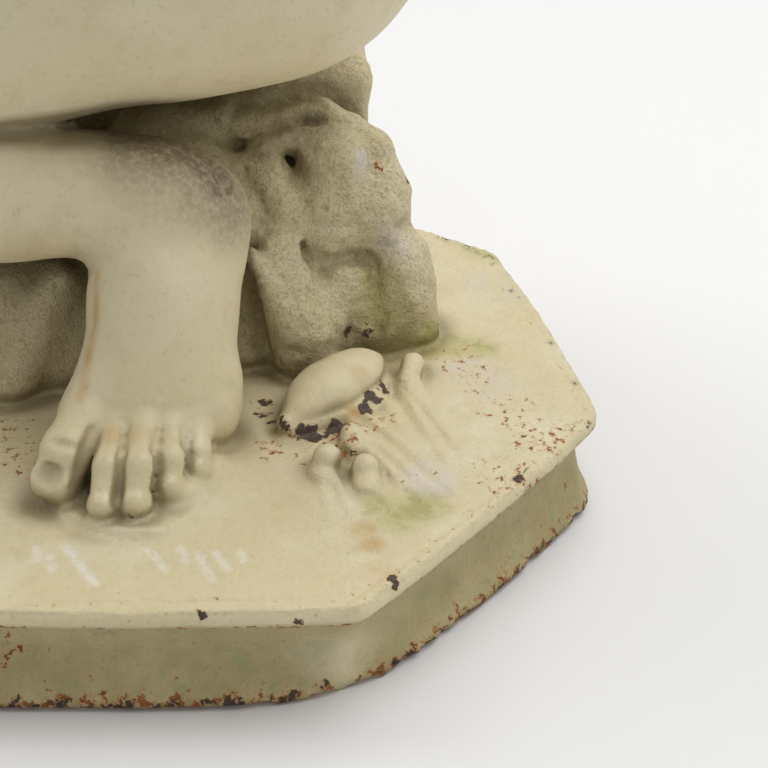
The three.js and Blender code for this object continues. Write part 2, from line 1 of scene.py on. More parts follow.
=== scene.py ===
import math
from concurrent.futures import ThreadPoolExecutor
import bpy
import numpy as np
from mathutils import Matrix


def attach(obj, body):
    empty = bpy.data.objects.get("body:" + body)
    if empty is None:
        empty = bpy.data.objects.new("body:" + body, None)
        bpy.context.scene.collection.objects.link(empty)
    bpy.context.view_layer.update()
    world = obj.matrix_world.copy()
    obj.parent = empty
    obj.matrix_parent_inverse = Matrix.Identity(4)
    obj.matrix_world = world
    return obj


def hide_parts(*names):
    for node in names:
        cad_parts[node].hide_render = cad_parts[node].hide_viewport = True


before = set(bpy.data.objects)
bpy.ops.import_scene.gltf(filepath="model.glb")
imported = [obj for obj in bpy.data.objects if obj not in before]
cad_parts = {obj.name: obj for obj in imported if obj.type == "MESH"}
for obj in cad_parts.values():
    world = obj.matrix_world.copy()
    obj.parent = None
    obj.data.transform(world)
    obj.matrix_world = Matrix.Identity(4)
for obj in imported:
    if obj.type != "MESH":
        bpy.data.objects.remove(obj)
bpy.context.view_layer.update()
# ================================================================ the form, in millimetres
A=lambda *v: np.array(v,float)
def nrm(v): return v/np.linalg.norm(v)
def sm(a,b,k):
    h=np.clip(0.5+0.5*(b-a)/k,0,1); return b+(a-b)*h-k*h*(1-h)
def smx(a,b,k): return -sm(-a,-b,k)
def cone(P,a,b,ra,rb):
    ab=b-a; q=P-a; t=np.clip((q@ab)/(ab@ab),0,1)
    q=q-t[:,None]*ab
    return np.sqrt((q*q).sum(1))-(ra+(rb-ra)*t)
def ell(P,c,r,M=None):
    q=P-c
    if M is not None: q=q@M.T
    q1=q/r; q2=q1/r
    k0=np.sqrt((q1*q1).sum(1)); k1=np.sqrt((q2*q2).sum(1))
    return k0*(k0-1)/np.maximum(k1,1e-9)
def rbox(P,c,h,r,M=None):
    q=P-c
    if M is not None: q=q@M.T
    q=np.abs(q)-(h-r)
    return np.sqrt((np.maximum(q,0)**2).sum(1))+np.minimum(q.max(1),0)-r
def axes(theta,pitch=0,roll=0):
    f0=A(-np.cos(theta),-np.sin(theta),0); u0=A(0,0,1); l=np.cross(u0,f0)
    f=f0*np.cos(pitch)-u0*np.sin(pitch); u=np.cross(f,l)
    if roll: l,u=l*np.cos(roll)+u*np.sin(roll),u*np.cos(roll)-l*np.sin(roll)
    return np.array([l,f,u])
rad=np.radians
def part(P,fn,lo,hi,m=32.0):
    q=np.maximum(np.maximum(lo-P,P-hi),0); bd=np.sqrt((q*q).sum(1))
    near=bd<m; out=bd+1e-3
    if near.any(): out[near]=fn(P[near])
    return out
# ---- smooth lattice noise, seeded
NL=64
_lat=np.random.RandomState(7).uniform(-1,1,(NL,NL,NL)).astype(np.float32)
_lat=_lat.ravel()
def noise(P,s,off=0.0):
    q=P/s+off+1000.0
    i=np.floor(q).astype(np.int64); f=q-i; f=f*f*f*(f*(f*6-15)+10); i&=NL-1; j=(i+1)&(NL-1)
    x0,y0,z0=i[:,0]*NL*NL,i[:,1]*NL,i[:,2]; x1,y1,z1=j[:,0]*NL*NL,j[:,1]*NL,j[:,2]
    fx,fy,fz=f[:,0],f[:,1],f[:,2]
    a=_lat[x0+y0+z0]*(1-fx)+_lat[x1+y0+z0]*fx; b=_lat[x0+y1+z0]*(1-fx)+_lat[x1+y1+z0]*fx
    c=_lat[x0+y0+z1]*(1-fx)+_lat[x1+y0+z1]*fx; d=_lat[x0+y1+z1]*(1-fx)+_lat[x1+y1+z1]*fx
    return (a*(1-fy)+b*fy)*(1-fz)+(c*(1-fy)+d*fy)*fz
# ---- named places
TOP=52.0
hipL=A(94,20,243); hipR=A(36,119,243)
kneeL=A(-186,-8,158); ankL=A(54,-44,150)
kneeR=A(-188,112,418); ankR=A(-98,118,108)
AP=axes(rad(30)); AW=axes(rad(48),rad(4)); AC=axes(rad(65),rad(6)); AH=axes(rad(72),rad(16),rad(-4))
PEL=A(65,72,255); WST=A(58,70,345); CHS=A(46,62,462); SHC=A(38,56,580); NKB=A(32,50,612); HD=A(14,26,716)
L=AC[0]
shL=SHC+112*L+A(0,0,-4); shR=SHC-112*L+A(0,0,-4)
elL=A(154,-56,356); wrL=A(-6,-34,305)
elR=A(-40,160,356); wrR=A(-144,126,474)
g3=lambda M,c,v: c+v@M
def torso(P):
    d=ell(P,CHS,A(98,70,112),AC)
    d=sm(d,cone(P,g3(AC,CHS,A(-92,-6,108)),g3(AC,CHS,A(92,-6,108)),36,36),30)
    d=sm(d,ell(P,WST,A(76,58,90),AW),34)
    d=sm(d,ell(P,PEL,A(100,72,80),AP),34)
    for s in (-1,1):
        d=sm(d,ell(P,g3(AC,CHS,A(42*s,48,24)),A(35,30,33),AC),18)
        d=sm(d,cone(P,g3(AC,NKB,A(8*s,-10,14)),g3(AC,CHS,A(96*s,-10,116)),24,24),22)
        d=sm(d,ell(P,g3(AC,CHS,A(50*s,-44,46)),A(42,26,56),AC),24)
        d=sm(d,cone(P,g3(AC,CHS,A(10*s,34,122)),g3(AC,CHS,A(88*s,22,128)),6,6),12)      # collar bones
        d=sm(d,cone(P,g3(AC,NKB,A(10*s,26,-8)),HD+A(38*s*0+0,0,0)+g3(AH,A(0,0,0),A(40*s,-14,-34)),8,9),12)  # neck cords
        d=sm(d,ell(P,g3(AC,CHS,A(56*s,30,-52)),A(30,34,44),AC),22)                         # lower ribs
        d=sm(d,cone(P,g3(AW,WST,A(16*s,-46,60)),g3(AP,PEL,A(16*s,-52,40)),18,20),18)       # back muscles
    d=sm(d,ell(P,g3(AW,WST,A(0,28,-30)),A(58,34,60),AW),26)
    for s,e in ((shL,elL),(shR,elR)): d=sm(d,cone(P,s,s+(e-s)*0.4,37,32),26)
    d=sm(d,cone(P,NKB,HD+A(4,6,-40),37,33),22)
    d=smx(d,-cone(P,g3(AC,CHS,A(0,-82,90)),g3(AW,WST,A(0,-66,-20)),9,9),16)                # furrow of the spine
    d=smx(d,-ell(P,g3(AW,WST,A(0,66,-26)),A(5,7,6),AW),7)                                  # navel
    d=smx(d,-ell(P,g3(AC,NKB,A(0,48,-12)),A(9,10,9),AC),12)                                # pit of the throat
    return d
def thigh_left(P):
    d=ell(P,A(93,12,255),A(83,74,70.5))
    d=sm(d,cone(P,A(44,-8,250),kneeL+A(10,0,14),66,45),26)
    d=sm(d,ell(P,kneeL,A(44,42,42)),16)
    d=sm(d,ell(P,kneeL+A(-32,0,10),A(20,24,26)),14)      # knee cap
    return d
TROOT=[A(29.5,-107,78),A(43.2,-110,78.5),A(54.5,-110,79),A(65.6,-106,77),A(75.8,-99,74.5)]
TMID=[A(23.5,-121,72),A(41.8,-131,71.5),A(54.8,-131,72.5),A(66.6,-124,70.5),A(76.6,-115,67.5)]
TTIP=[A(20.0,-128,63),A(40.2,-142.5,60.5),A(53.6,-141,60.5),A(66.2,-131,61.5),A(76.6,-119.5,62.5)]
TRAD=[10.6,6.4,7.1,6.5,5.7]
TOER=[10.8,7.0,7.4,7.2,7.0]
def toes_left(P):
    q=None
    for i,(b,m,t,r) in enumerate(zip(TROOT,TMID,TTIP,TRAD)):
        if i==0:
            e=sm(cone(P,b,m,11.4,10.6),cone(P,m,t,10.6,8.2),4)
            e=sm(e,rbox(P,A(19.4,-128,62.6),A(9.6,8.8,8.0),5.5,TOEM),4)
        else:
            e=sm(cone(P,b,m,r*0.94,r),cone(P,m,t,r,r*0.86),2.0)
            e=sm(e,ell(P,t+A(0,-0.5,0.0),A(r*0.98,r*0.98,r*0.94)),2.0)
        q=e if q is None else sm(q,e,1.6)
    return q
TOEM=np.array([nrm(A(0.93,-0.37,0)),nrm(A(0.37,0.93,0)),A(0,0,1)])
def foot_left(P):
    mid=A(58,-61,115)
    d=cone(P,A(56,-46,141),A(60,-63,112),28,26.5)
    d=sm(d,ell(P,A(77,-38,136.5),A(20,20,27)),12)        # heel
    d=sm(d,cone(P,A(79,-50,118),A(80,-90,75),12,10),14)  # outer border
    for b,r in zip(TROOT,TOER):
        d=sm(d,cone(P,mid+(b-mid)*0.1,b+A(0,6,-0.5),21,r+0.5),15)
    d=sm(d,cone(P,A(32,-96,71),A(74,-84,69),13,12),12)   # ball
    # tendons
    for k,(b,w) in enumerate(zip(TROOT,(3.4,2.2,2.0,2.0,1.8))):
        a=mid+A((k-2)*5.0,-20,8)
        d=sm(d,cone(P,a,b+A(0,10,7.5),w,w*0.8),7)
    d=sm(d,cone(P,A(72,-88,88),A(72,-100,82.5),2.6,2.2),4)               # ridge on the outer instep
    d=sm(d,cone(P,A(38,-112,70.5),A(71,-105,69),9.5,9.0),6)              # web
    d=sm(d,cone(P,A(81,-80,80),A(80,-92,66),9.0,7.0),14)                # outer border, running down to the ground
    d=sm(d,toes_left(P),3.0)
    # clefts between the toes
    for i in range(4):
        p=(TROOT[i]+TROOT[i+1])/2*0.45+(TMID[i]+TMID[i+1])/2*0.55+A(0,-1,7.0); m=(TMID[i]+TMID[i+1])/2+A(0,-1,5.5)
        q=(TTIP[i]+TTIP[i+1])/2+A(0,-1,4.0)
        w=(2.6,1.5,1.5,1.3)[i]
        d=smx(d,-sm(cone(P,p,m,w*0.6,w),cone(P,m,q,w,w*1.1),1.0),2.2)
    # nails and creases
    d=smx(d,-ell(P,A(17.6,-135.0,69.0),A(7.6,6.0,2.6),NAIL),1.6)
    d=smx(d,-cone(P,A(14.0,-125.5,82.0),A(28.0,-129.0,79.5),1.3,1.3),2.4)
    for i in (1,2,3,4):
        t=TTIP[i]; r=TRAD[i]
        d=sm(d,ell(P,t+A(0,-r*0.55,r*0.60),A(r*0.6,r*0.5,r*0.36),NAIL2),1.2)
    return d
NAIL=np.array([nrm(A(0.93,-0.37,0)),nrm(A(0.28,0.70,0.60)),nrm(np.cross(A(0.93,-0.37,0),A(0.28,0.70,0.60)))])
NAIL2=np.array([A(1,0,0),nrm(A(0,0.75,0.66)),nrm(A(0,-0.66,0.75))])
def shin_left(P):
    s=ell(P,A(-92,-26,150),A(88,35,36))
    s=sm(s,cone(P,kneeL+A(0,0,-8),A(-10,-38,152),38,28),22)
    s=sm(s,cone(P,A(-10,-38,152),ankL,28.5,27),14)
    return s
def lower_left(P): return sm(shin_left(P),foot_left(P),10)
CALF=np.array([nrm(A(1,0,.3)),A(0,1,0),nrm(A(-.3,0,1))])
RROOT=[A(-186,96,68),A(-189,110,67),A(-187,122,66.5),A(-182,133,66),A(-175,143,65)]
RTIP=[A(-212,92,63),A(-218,108,61),A(-214,122,61),A(-206,135,61),A(-196,146,60.5)]
RRAD=[10.4,7.0,6.8,6.6,6.2]
def leg_right(P):
    d=ell(P,hipR,A(72,72,76))
    d=sm(d,cone(P,hipR+A(-8,0,6),kneeR+A(8,0,-6),70,44),26)
    d=sm(d,ell(P,kneeR,A(42,42,44)),16)
    d=sm(d,ell(P,kneeR+A(-28,0,14),A(20,24,26)),14)
    d=sm(d,cone(P,kneeR+A(0,0,-10),A(-116,120,190),38,28),20)
    d=sm(d,ell(P,A(-148,122,300),A(36,36,84),CALF),22)
    d=sm(d,cone(P,kneeR+A(-30,0,-40),A(-132,112,190),10,8),16)   # shin bone
    d=sm(d,cone(P,A(-116,120,190),ankR,28,27),14)
    for s in (-1,1): d=sm(d,ell(P,ankR+A(0,26*s,2),A(9,7,11)),10)
    d=sm(d,ell(P,A(-76,120,80),A(26,24,28)),12)
    mid=A(-112,120,92)
    for b in RROOT: d=sm(d,cone(P,mid,b+A(6,0,0),24,11),12)
    d=sm(d,cone(P,A(-80,120,66),A(-150,120,64),17,17),12)
    q=None
    for i,(b,t,r) in enumerate(zip(RROOT,RTIP,RRAD)):
        m=b*0.5+t*0.5+A(0,0,2.5)
        e=sm(cone(P,b,m,r,r),cone(P,m,t,r,r*0.92),3); q=e if q is None else sm(q,e,1.0)
    d=sm(d,q,4)
    for i in range(4):
        a=(RROOT[i]+RROOT[i+1])/2+A(3,0,6); b=(RTIP[i]+RTIP[i+1])/2+A(-4,0,2)
        d=smx(d,-cone(P,a,b,0.8,1.4),2.0)
    return d
def hand(P,w,dirn,palm_n,side,spread,curl):
    f=nrm(dirn); n=nrm(palm_n-f*(palm_n@f)); a=np.cross(n,f)*side
    M=np.array([a,f,n]); to=lambda x,y,z: a*x+f*y+n*z
    d=ell(P,w+to(0,34,0),A(30,38,12.5),M)
    d=sm(d,cone(P,w,w+f*16,18.5,17),10)
    q=None
    for i,(o,ln,r) in enumerate(((22,50,7.2),(8,56,7.5),(-7,52,7.1),(-21,41,6.3))):
        b=w+to(o,60,0)
        m=b+nrm(to(spread*o/22.0,1,curl*0.5))*ln*0.5; m2=m+nrm(to(spread*o/22.0,1,curl*1.5))*ln*0.27
        t=m2+nrm(to(spread*o/22.0,1,curl*2.6))*ln*0.23
        e=sm(cone(P,b,m,r*1.05,r*0.92),cone(P,m,m2,r*0.94,r*0.84),1.5)
        e=sm(e,cone(P,m2,t,r*0.84,r*0.72),1.5)
        e=sm(e,ell(P,m-n*1.0,A(r*0.96,r*1.0,r*0.96),M),2)
        d=sm(d,cone(P,w+to(o*0.3,14,-6),b+to(0,-4,-3.5),2.4,4.6),6)      # back-of-hand bones
        q=e if q is None else np.minimum(q,e)
    d=sm(d,q,5)
    b=w+to(24,22,0); m=b+nrm(to(0.8,0.8,0.25))*28; t=m+nrm(to(0.25,1,0.3))*24
    return sm(d,sm(cone(P,b,m,10.5,9),cone(P,m,t,9,7),4),7)
def arm(P,sh,el,wr,h):
    d=cone(P,sh,el,36,27)
    ax=nrm(el-sh)
    e=sm(cone(P,el,wr,27,18),cone(P,el,el+(wr-el)*0.42,27.5,27),8)
    d=sm(d,e,10)
    d=sm(d,ell(P,el+nrm(el-(sh+wr)/2)*14,A(16,16,16)),12)    # point of the elbow
    return sm(d,h,8)
def arm_left(P): return arm(P,shL,elL,wrL,hand(P,wrL,A(-1,0.1,-0.22),A(0,0.12,-1),-1,0.12,0.12))
def arm_right(P): return arm(P,shR,elR,wrR,hand(P,wrR,A(-1,-0.2,-0.28),A(-0.15,0,-1),1,0.14,0.5))
def head(P):
    Q=(P-HD)@AH.T
    I=None
    E=lambda c,r: ell(Q,A(*c),A(*r))
    C=lambda a,b,ra,rb: cone(Q,A(*a),A(*b),ra,rb)
    d=E((0,-10,18),(56,68,62))
    d=sm(d,E((0,22,-14),(44,42,60)),14)
    d=sm(d,E((0,44,-64),(19,16,13)),16)          # chin
    for s in (-1,1):
        d=sm(d,E((29*s,38,-20),(17,17,22)),14)   # cheek
        d=sm(d,C((42*s,2,-36),(15*s,42,-64),13,11),16)   # jaw
    d=sm(d,C((-20,55,15),(20,55,15),8,8),10)     # brow
    for s in (-1,1):
        d=smx(d,-E((20.5*s,69,-3),(12.5,11,7.5)),8)
        d=sm(d,E((20*s,52.5,-3.5),(10.5,10,8.6)),1.6)        # eyeball
        d=sm(d,C((10.5*s,60.5,-0.5),(20*s,62.6,3.2),1.7,2.1),1.6)   # upper lid
        d=sm(d,C((20*s,62.6,3.2),(30.5*s,55,-2.0),2.1,1.6),1.6)
        d=sm(d,C((11*s,60,-6.0),(20*s,61.2,-9.6),1.4,1.7),1.6)   # lower lid
        d=sm(d,C((20*s,61.2,-9.6),(30*s,55.4,-5.0),1.7,1.4),1.6)
        d=sm(d,C((9*s,62,13),(30*s,55,16),2.2,1.6),4)        # eyebrow
    d=sm(d,C((0,61,9),(0,73.5,-20),4.2,6.0),7)  # nose
    d=sm(d,E((0,73,-22),(6.2,6,5.6)),4)
    for s in (-1,1):
        d=sm(d,E((7.4*s,66.5,-24),(4.6,6.4,4.6)),3)
        d=smx(d,-E((4.0*s,71,-29),(2.2,3.2,2.4)),1.5)
    d=sm(d,E((0,54,-46),(18,13.5,14)),8)
    for s in (-1,1):
        d=sm(d,C((1.5*s,66.5,-39.2),(13*s,60.5,-43.8),3.6,1.6),2.2)
    d=sm(d,C((-8,64.4,-48.6),(8,64.4,-48.6),3.6,3.6),2.6)
    d=smx(d,-C((-13,63.6,-44.4),(0,69.2,-43.9),0.7,0.9),1.4)
    d=smx(d,-C((0,69.2,-43.9),(13,63.6,-44.4),0.9,0.7),1.4)
    d=smx(d,-C((0,70,-31),(0,69.5,-36),1.6,1.8),3)
    for s in (-1,1):                              # ears
        e=E((56*s,-4,-8),(5.5,11,18))
        e=smx(e,-E((61*s,-2,-6),(3.6,6.5,11)),2)
        d=sm(d,e,3)
    # hair, parted in the middle and drawn back in waves to a knot
    h=E((0,-14,26),(61,71,63))
    h=sm(h,E((0,-26,-4),(59,57,55)),12)
    phi=np.arctan2(Q[:,2]-10,Q[:,0]); side=np.sign(Q[:,0])
    wav=np.sin(phi*34+side*(1.6*np.sin(Q[:,1]/11.0)+Q[:,1]/16.0))
    h=h-1.3*wav-0.7*np.sin(phi*71+Q[:,1]/9.0)
    h=smx(h,-C((0,70,60),(0,-20,96),2.2,2.2),4)
    cut=E((0,54,-34),(49,62,76))
    h=smx(h,-cut,5)
    k=E((0,-92,8),(31,27,31))
    r=np.sqrt(Q[:,0]**2+(Q[:,2]-8)**2); th=np.arctan2(Q[:,2]-8,Q[:,0])
    k=k-1.4*np.sin(r/2.6+th*2.0)
    h=sm(h,k,7)
    return sm(d,h,2.5)
# ---- rock
def boulder(P):
    E=lambda c,r,M=None: ell(P,A(*c),A(*r),M)
    C=lambda a,b,ra,rb: cone(P,A(*a),A(*b),ra,rb)
    d=E((116,34,92),(38,32,56))
    # the seat slab and the slope in front of it
    s=rbox(P,A(62,86,118),A(82,50,57),9,SLAB)
    s=sm(s,C((46,24,148),(96,34,150),18,15),12)
    d=sm(d,s,5)
    # upper ridge, falling away to the right
    r=C((92,22,150),(107,29,152),7,8)
    for a,b,ra,rb in (((107,29,152),(124,32,154),8,8.5),((124,32,154),(137,31,146),8.5,9),((137,31,146),(148,27,137),9,10.5),((148,27,137),(153,20,122),10.5,12)):
        r=sm(r,C(a,b,ra,rb),3)
    d=sm(d,r,6)
    # lower rim, curling down at the left
    r=C((88,6,124),(92,8,140),6.5,6.5)
    for a,b,ra,rb in (((92,8,140),(101,12,149),6.5,6),((101,12,149),(112,15,150.5),6,5.5),((112,15,150.5),(124,17,148),5.5,7)):
        r=sm(r,C(a,b,ra,rb),3)
    d=sm(d,r,4)
    d=sm(d,E((131,13,134),(17,15,22)),7)                    # belly under the ridge
    d=sm(d,E((127,8,112),(18,16,22)),9)
    d=sm(d,E((148,15,110),(18,16,22)),8)
    d=sm(d,E((153,18,119),(13.5,14,17)),5)
    d=sm(d,E((102,10,92),(26,21,42)),8)                     # pitted slope
    d=sm(d,C((104,4,136),(110,2,118),9,9),8)                # valley inside the rim
    d=smx(d,-C((110,18,164.5),(123,21,163),4.5,5.5),5)      # hollow between rim and ridge
    d=sm(d,E((163,7,68),(19.2,18.5,40)),6)                  # lower right lobe
    d=sm(d,E((133,-3,78),(18,13,18)),6)                     # middle lobe
    d=sm(d,E((121,-8,62),(22,18,24)),8)
    d=sm(d,E((149,-2,58),(18,16,22)),6)
    d=smx(d,-E((151,-20,77),(6,10,16)),7)                   # hollow between the lobes
    # fin beside the heel
    w=C((93,-25,112),(101,-28,97),3.0,4.0)
    w=sm(w,C((101,-28,97),(108,-29,80),4.0,5.5),3)
    w=sm(w,C((108,-29,80),(116,-28,58),5.5,9),3)
    w=sm(w,C((106,-6,104),(120,-12,58),14,18),14)
    w=sm(w,C((110,-17,92),(120,-20,64),9,13),10)
    d=sm(d,w,6)
    d=sm(d,C((88,-4,92),(92,-14,60),12,14),6)
    # cracks
    for a,b in (((145,-4,104),(153,-7,97)),((153,-7,97),(154,-9,88)),((128,-7,118),(137,-7,116)),((117,-8,110),(124,-10,100))):
        d=smx(d,-C(a,b,1.3,1.0),2.0)
    return d
def hollow_wall(P):
    d=ell(P,A(-22,22,58),A(98,70,78))                                # mass under the shin
    d=sm(d,ell(P,A(-24,-20,88),A(26,18,34)),8)
    d=sm(d,cone(P,A(8,-32,104),A(-14,-46,62),9,12),8)
    d=sm(d,ell(P,A(-150,4,80),A(56,48,46)),12)
    d=sm(d,ell(P,A(-90,22,76),A(66,60,46)),14)
    d=sm(d,ell(P,A(20,100,108),A(84,58,64)),14)
    d=sm(d,ell(P,A(-46,98,84),A(60,50,46)),14)
    d=sm(d,ell(P,A(52,14,98),A(58,44,60)),12)                        # slope in front of the seat
    return d
SLAB=axes(rad(97),0)
SLAB=np.array([SLAB[0],SLAB[1],SLAB[2]])
def rock(P):
    P=P+np.stack([2.2*noise(P,24,31.0),2.2*noise(P,24,41.0),2.2*noise(P,24,51.0)],1)
    d=hollow_wall(P)
    d=sm(d,ell(P,A(116,72,80),A(42,44,56)),14)
    return sm(d,boulder(P),5)
def rock_rough(P,d):
    m=np.abs(d)<9
    if not m.any(): return d
    q=P[m]
    w=np.clip((q[:,0]-60)/20,0,1)*np.clip((60-q[:,1])/20,0,1)*0.75+0.25   # rougher on the boulder
    n=1.3*noise(q,17)+0.8*noise(q,7.5,3.3)+0.5*noise(q,3.6,7.7)
    e=np.abs(noise(q,6.3,21.1)); fis=np.clip(0.10-e,0,1)*5.0*np.clip(noise(q,13,5.1)+0.1,0,1)
    pit=np.maximum(0,noise(q,3.4,11.1)-0.45)*2.2*np.clip((150-q[:,0])/20,0.3,1)
    d=d.copy(); d[m]=d[m]+w*(pit+fis-n*0.8)
    return d
# ---- plinth
PL=[A(146.6,-198.6),A(254.4,-63.9),A(215.4,93.5),A(52,198.6)]
PL=PL+[-p for p in PL]
BOW=2.5
def ring(radii,n=6):
    """the octagon with bowed sides; every corner turned with its own radius"""
    seg=[]; pts=[]
    for i in range(8):
        a,b=PL[i],PL[(i+1)%8]; e=nrm(b-a); seg.append((a,e,A(e[1],-e[0]),np.linalg.norm(b-a)))
    bow=lambda t: BOW*(4*t*(1-t)-0.6)
    for i in range(8):
        a,e,nn,ln=seg[i]; pe,pn=seg[i-1][1],seg[i-1][2]
        r=radii[i%4]; phi=np.arccos(np.clip(pe@e,-1,1)); tl=r*np.tan(phi/2)
        c=a-pe*tl-pn*r
        k=max(2,int(r/9)); fade=0.3
        for j in range(k+1):
            w=phi*j/k; v=pn*np.cos(w)+pe*np.sin(w); pts.append(c+v*r)
        nxt=seg[(i+1)%8]; phi2=np.arccos(np.clip(e@nxt[1],-1,1)); tl2=radii[(i+1)%4]*np.tan(phi2/2)
        for j in range(1,n):
            t=j/n; q=tl+(ln-tl-tl2)*t; u=q/ln
            pts.append(a+e*q+nn*(BOW*4*t*(1-t)*(ln-tl-tl2)/ln))
    return pts
def poly(P,pts):
    x=P[:,:2]; d=np.full(len(P),1e18); s=np.ones(len(P)); n=len(pts)
    for i in range(n):
        a=pts[i-1]; b=pts[i]; e=a-b; w=x-b
        t=np.clip((w@e)/(e@e),0,1); q=w-t[:,None]*e
        d=np.minimum(d,(q*q).sum(1))
        c1=x[:,1]>=b[1]; c2=x[:,1]<a[1]; c3=e[0]*w[:,1]>e[1]*w[:,0]
        s=np.where((c1&c2&c3)|(~c1&~c2&~c3),-s,s)
    return s*np.sqrt(d)
RING_T=ring((11,15,15,14),5)
RING_F=ring((118,30,26,90),4)
PROF_Z=[-5, 0, 1.5, 4.0, 6.5, 12, 20, 29, 36, 39.5, 41.5, 43.0, 45.5, 48.5, 50.6, 52,60]
PROF_I=[1.0,0.4,-0.6,-0.4,0.6,3.2,6.0,8.2, 9.0, 8.6, 5.6, 1.6, -0.1,-0.1, 0.7, 2.4,2.4]
def plinth_d2(P):
    dt=poly(P,RING_T)+0.8; df=poly(P,RING_F)+0.8
    w=np.clip((40-P[:,2])/34.0,0,1); w=w*w*(3-2*w)
    return dt*(1-w)+df*w, dt
RIBS=[(164.3,-38.7,191.3,-100.9,2.3,2.8),(160.5,-42.9,182.6,-102.3,2.3,2.6),(153,-50,168,-92,2.6,1.6),
      (140.5,-59.6,184.9,-122.5,2.6,2.6),(138.9,-70,178.4,-127.3,2.4,2.4),(142.3,-87.2,174.1,-132.8,2.6,2.4),(145.6,-109.6,163.6,-143,2.4,2.4),
      (134.2,-113.2,141.8,-139.6,2.8,2.2),(126.8,-109.6,132.7,-136.2,2.4,1.8),
      (26.7,-158.7,42.3,-182.2,1.9,-1.0),(60.4,-161.2,69,-173.7,1.9,-0.8),(73.5,-159.9,76.9,-169.4,1.6,-0.5),(80.6,-163.1,87.7,-179.8,1.8,-0.8),
      (87.8,-163.1,93.5,-173.7,1.7,-0.8),(15.2,-159.9,17.4,-167.5,1.6,-0.5),(21.7,-165,24.7,-174.9,1.6,-0.5),(97.4,-162.5,99.4,-168.7,1.5,-0.5)]
def relief(P):
    """low relief on the top: the swelling round the toes, weed, tool marks"""
    x=P[:,0]; y=P[:,1]
    h=np.zeros(len(P))
    m=(x>-20)&(x<215)&(y<-10)&(y>-185)
    if m.any():
        X=x[m]; Y=y[m]; u=np.zeros(len(X))
        wx=X+1.6*noise(P[m]*A(1,1,0.01),14,3.1); wy=Y+1.6*noise(P[m]*A(1,1,0.01),14,6.1)
        e=np.sqrt(((wx-56)/46)**2+((wy+111)/46)**2)
        w=0.12+0.55*np.clip((wx-62)/40,0,1)
        t=np.clip((1.03-e)/w,0,1); u+=3.8*t*t*(3-2*t)
        e2=np.sqrt(((wx-86)/34)**2+((wy+100)/46)**2)
        t=np.clip((1.0-e2)/0.9,0,1); u+=3.2*t*t*(3-2*t)
        e3=np.sqrt(((wx-166)/34)**2+((wy+84)/50)**2)
        t=np.clip((1.0-e3)/0.6,0,1); u+=1.3*t*t*(3-2*t)
        for (ax,ay,bx,by,w,hh) in RIBS:
            ex,ey=bx-ax,by-ay; t=((X-ax)*ex+(Y-ay)*ey)/(ex*ex+ey*ey); tc=np.clip(t,0,1)
            q=np.sqrt((X-ax-tc*ex)**2+(Y-ay-tc*ey)**2)
            u+=hh*np.exp(-(q/w)**2)*(1-0.75*tc)
        h[m]=u
    return h
def plinth(P):
    out=np.maximum(np.maximum(P[:,2]-70,-P[:,2]-20),0)
    q=np.maximum(np.abs(P[:,:2])-A(262,207),0); out=np.sqrt(out**2+(q*q).sum(1))+1e-3
    m=out<20
    if not m.any(): return out
    p=P[m]; z=p[:,2]
    d2,dt=plinth_d2(p)
    wob=0.55*noise(p,26,1.7)+0.25*noise(p,9,4.4)
    i=np.interp(z,PROF_Z,PROF_I)
    d2=d2-wob*0.9
    # top surface, a little uneven, with a sunk line just inside the edge
    t=TOP+0.55*noise(p*A(1,1,0.01),42,8.8)+0.22*noise(p*A(1,1,0.01),12,2.2)
    t=t+relief(p)
    g=dt+7.0+0.5*noise(p*A(1,1,0.01),30,5.5)
    t=t-1.0*np.exp(-(g/1.5)**2)-0.25*np.clip(g/3.0,0,1)
    e=np.maximum(d2+i,z-t)
    e=smx(d2+i,z-t,1.6)
    e=np.maximum(e,-z)*0.92
    out[m]=e
    return out
# ---- shell, pebbles, weed
SHA=rad(49.0); SH=np.array([[np.cos(SHA),np.sin(SHA),0],[-np.sin(SHA),np.cos(SHA),0],[0,0,1]])
def shore(P):
    c=A(130.5,-54,57)
    Q=(P-c)@SH.T                      # x along the shell, y away from the lip, z up
    u=ell(Q,A(5,0.5,3.0),A(29,15.0,11.0))
    u=sm(u,cone(Q,A(-6,-1,1.0),A(-30,-1.5,-1.0),11,5.0),8)
    u=u-0.12*np.sin(np.sqrt((Q[:,0]-24)**2+(Q[:,1]*1.5-8)**2)/1.9)
    lo=ell(Q,A(4,-3.6,-3.5),A(31,15.8,7.0))
    lo=sm(lo,cone(Q,A(-6,-4.6,-4),A(-30,-4.0,-3.5),9,4.5),6)
    d=sm(u,lo,0.8)
    d=sm(d,ell(P,A(130.6,-105.0,57),A(6.4,6.2,6.2)),2.0)
    d=sm(d,ell(P,A(128.5,-110,53),A(6.5,7.5,4)),3.0)
    d=sm(d,ell(P,A(147.0,-110.6,55.5),A(6.2,6.4,6.6)),2.0)
    d=sm(d,ell(P,A(147.6,-117,53),A(6.5,8.5,4)),3.0)
    d=sm(d,ell(P,A(143,-88,52.5),A(8,11,5.5)),3.0)
    d=sm(d,ell(P,A(140,-83,55),A(4,5,4)),3.0)
    # knob and the weed that fans out of it
    d=sm(d,cone(P,A(168.5,-30.5,57.5),A(165.5,-42,54.5),5.6,5.0),2.5)
    d=sm(d,cone(P,A(168,-38,55),A(176,-58,52.5),2.8,2.2),1.6)
    d=sm(d,cone(P,A(164,-40,55),A(171,-60,52.5),3.0,2.4),1.6)
    return d
def pad(P):
    return sm(ell(P,A(77,-112,56),A(11,13,9)),ell(P,A(68,-127,55.5),A(13,11,8)),5)
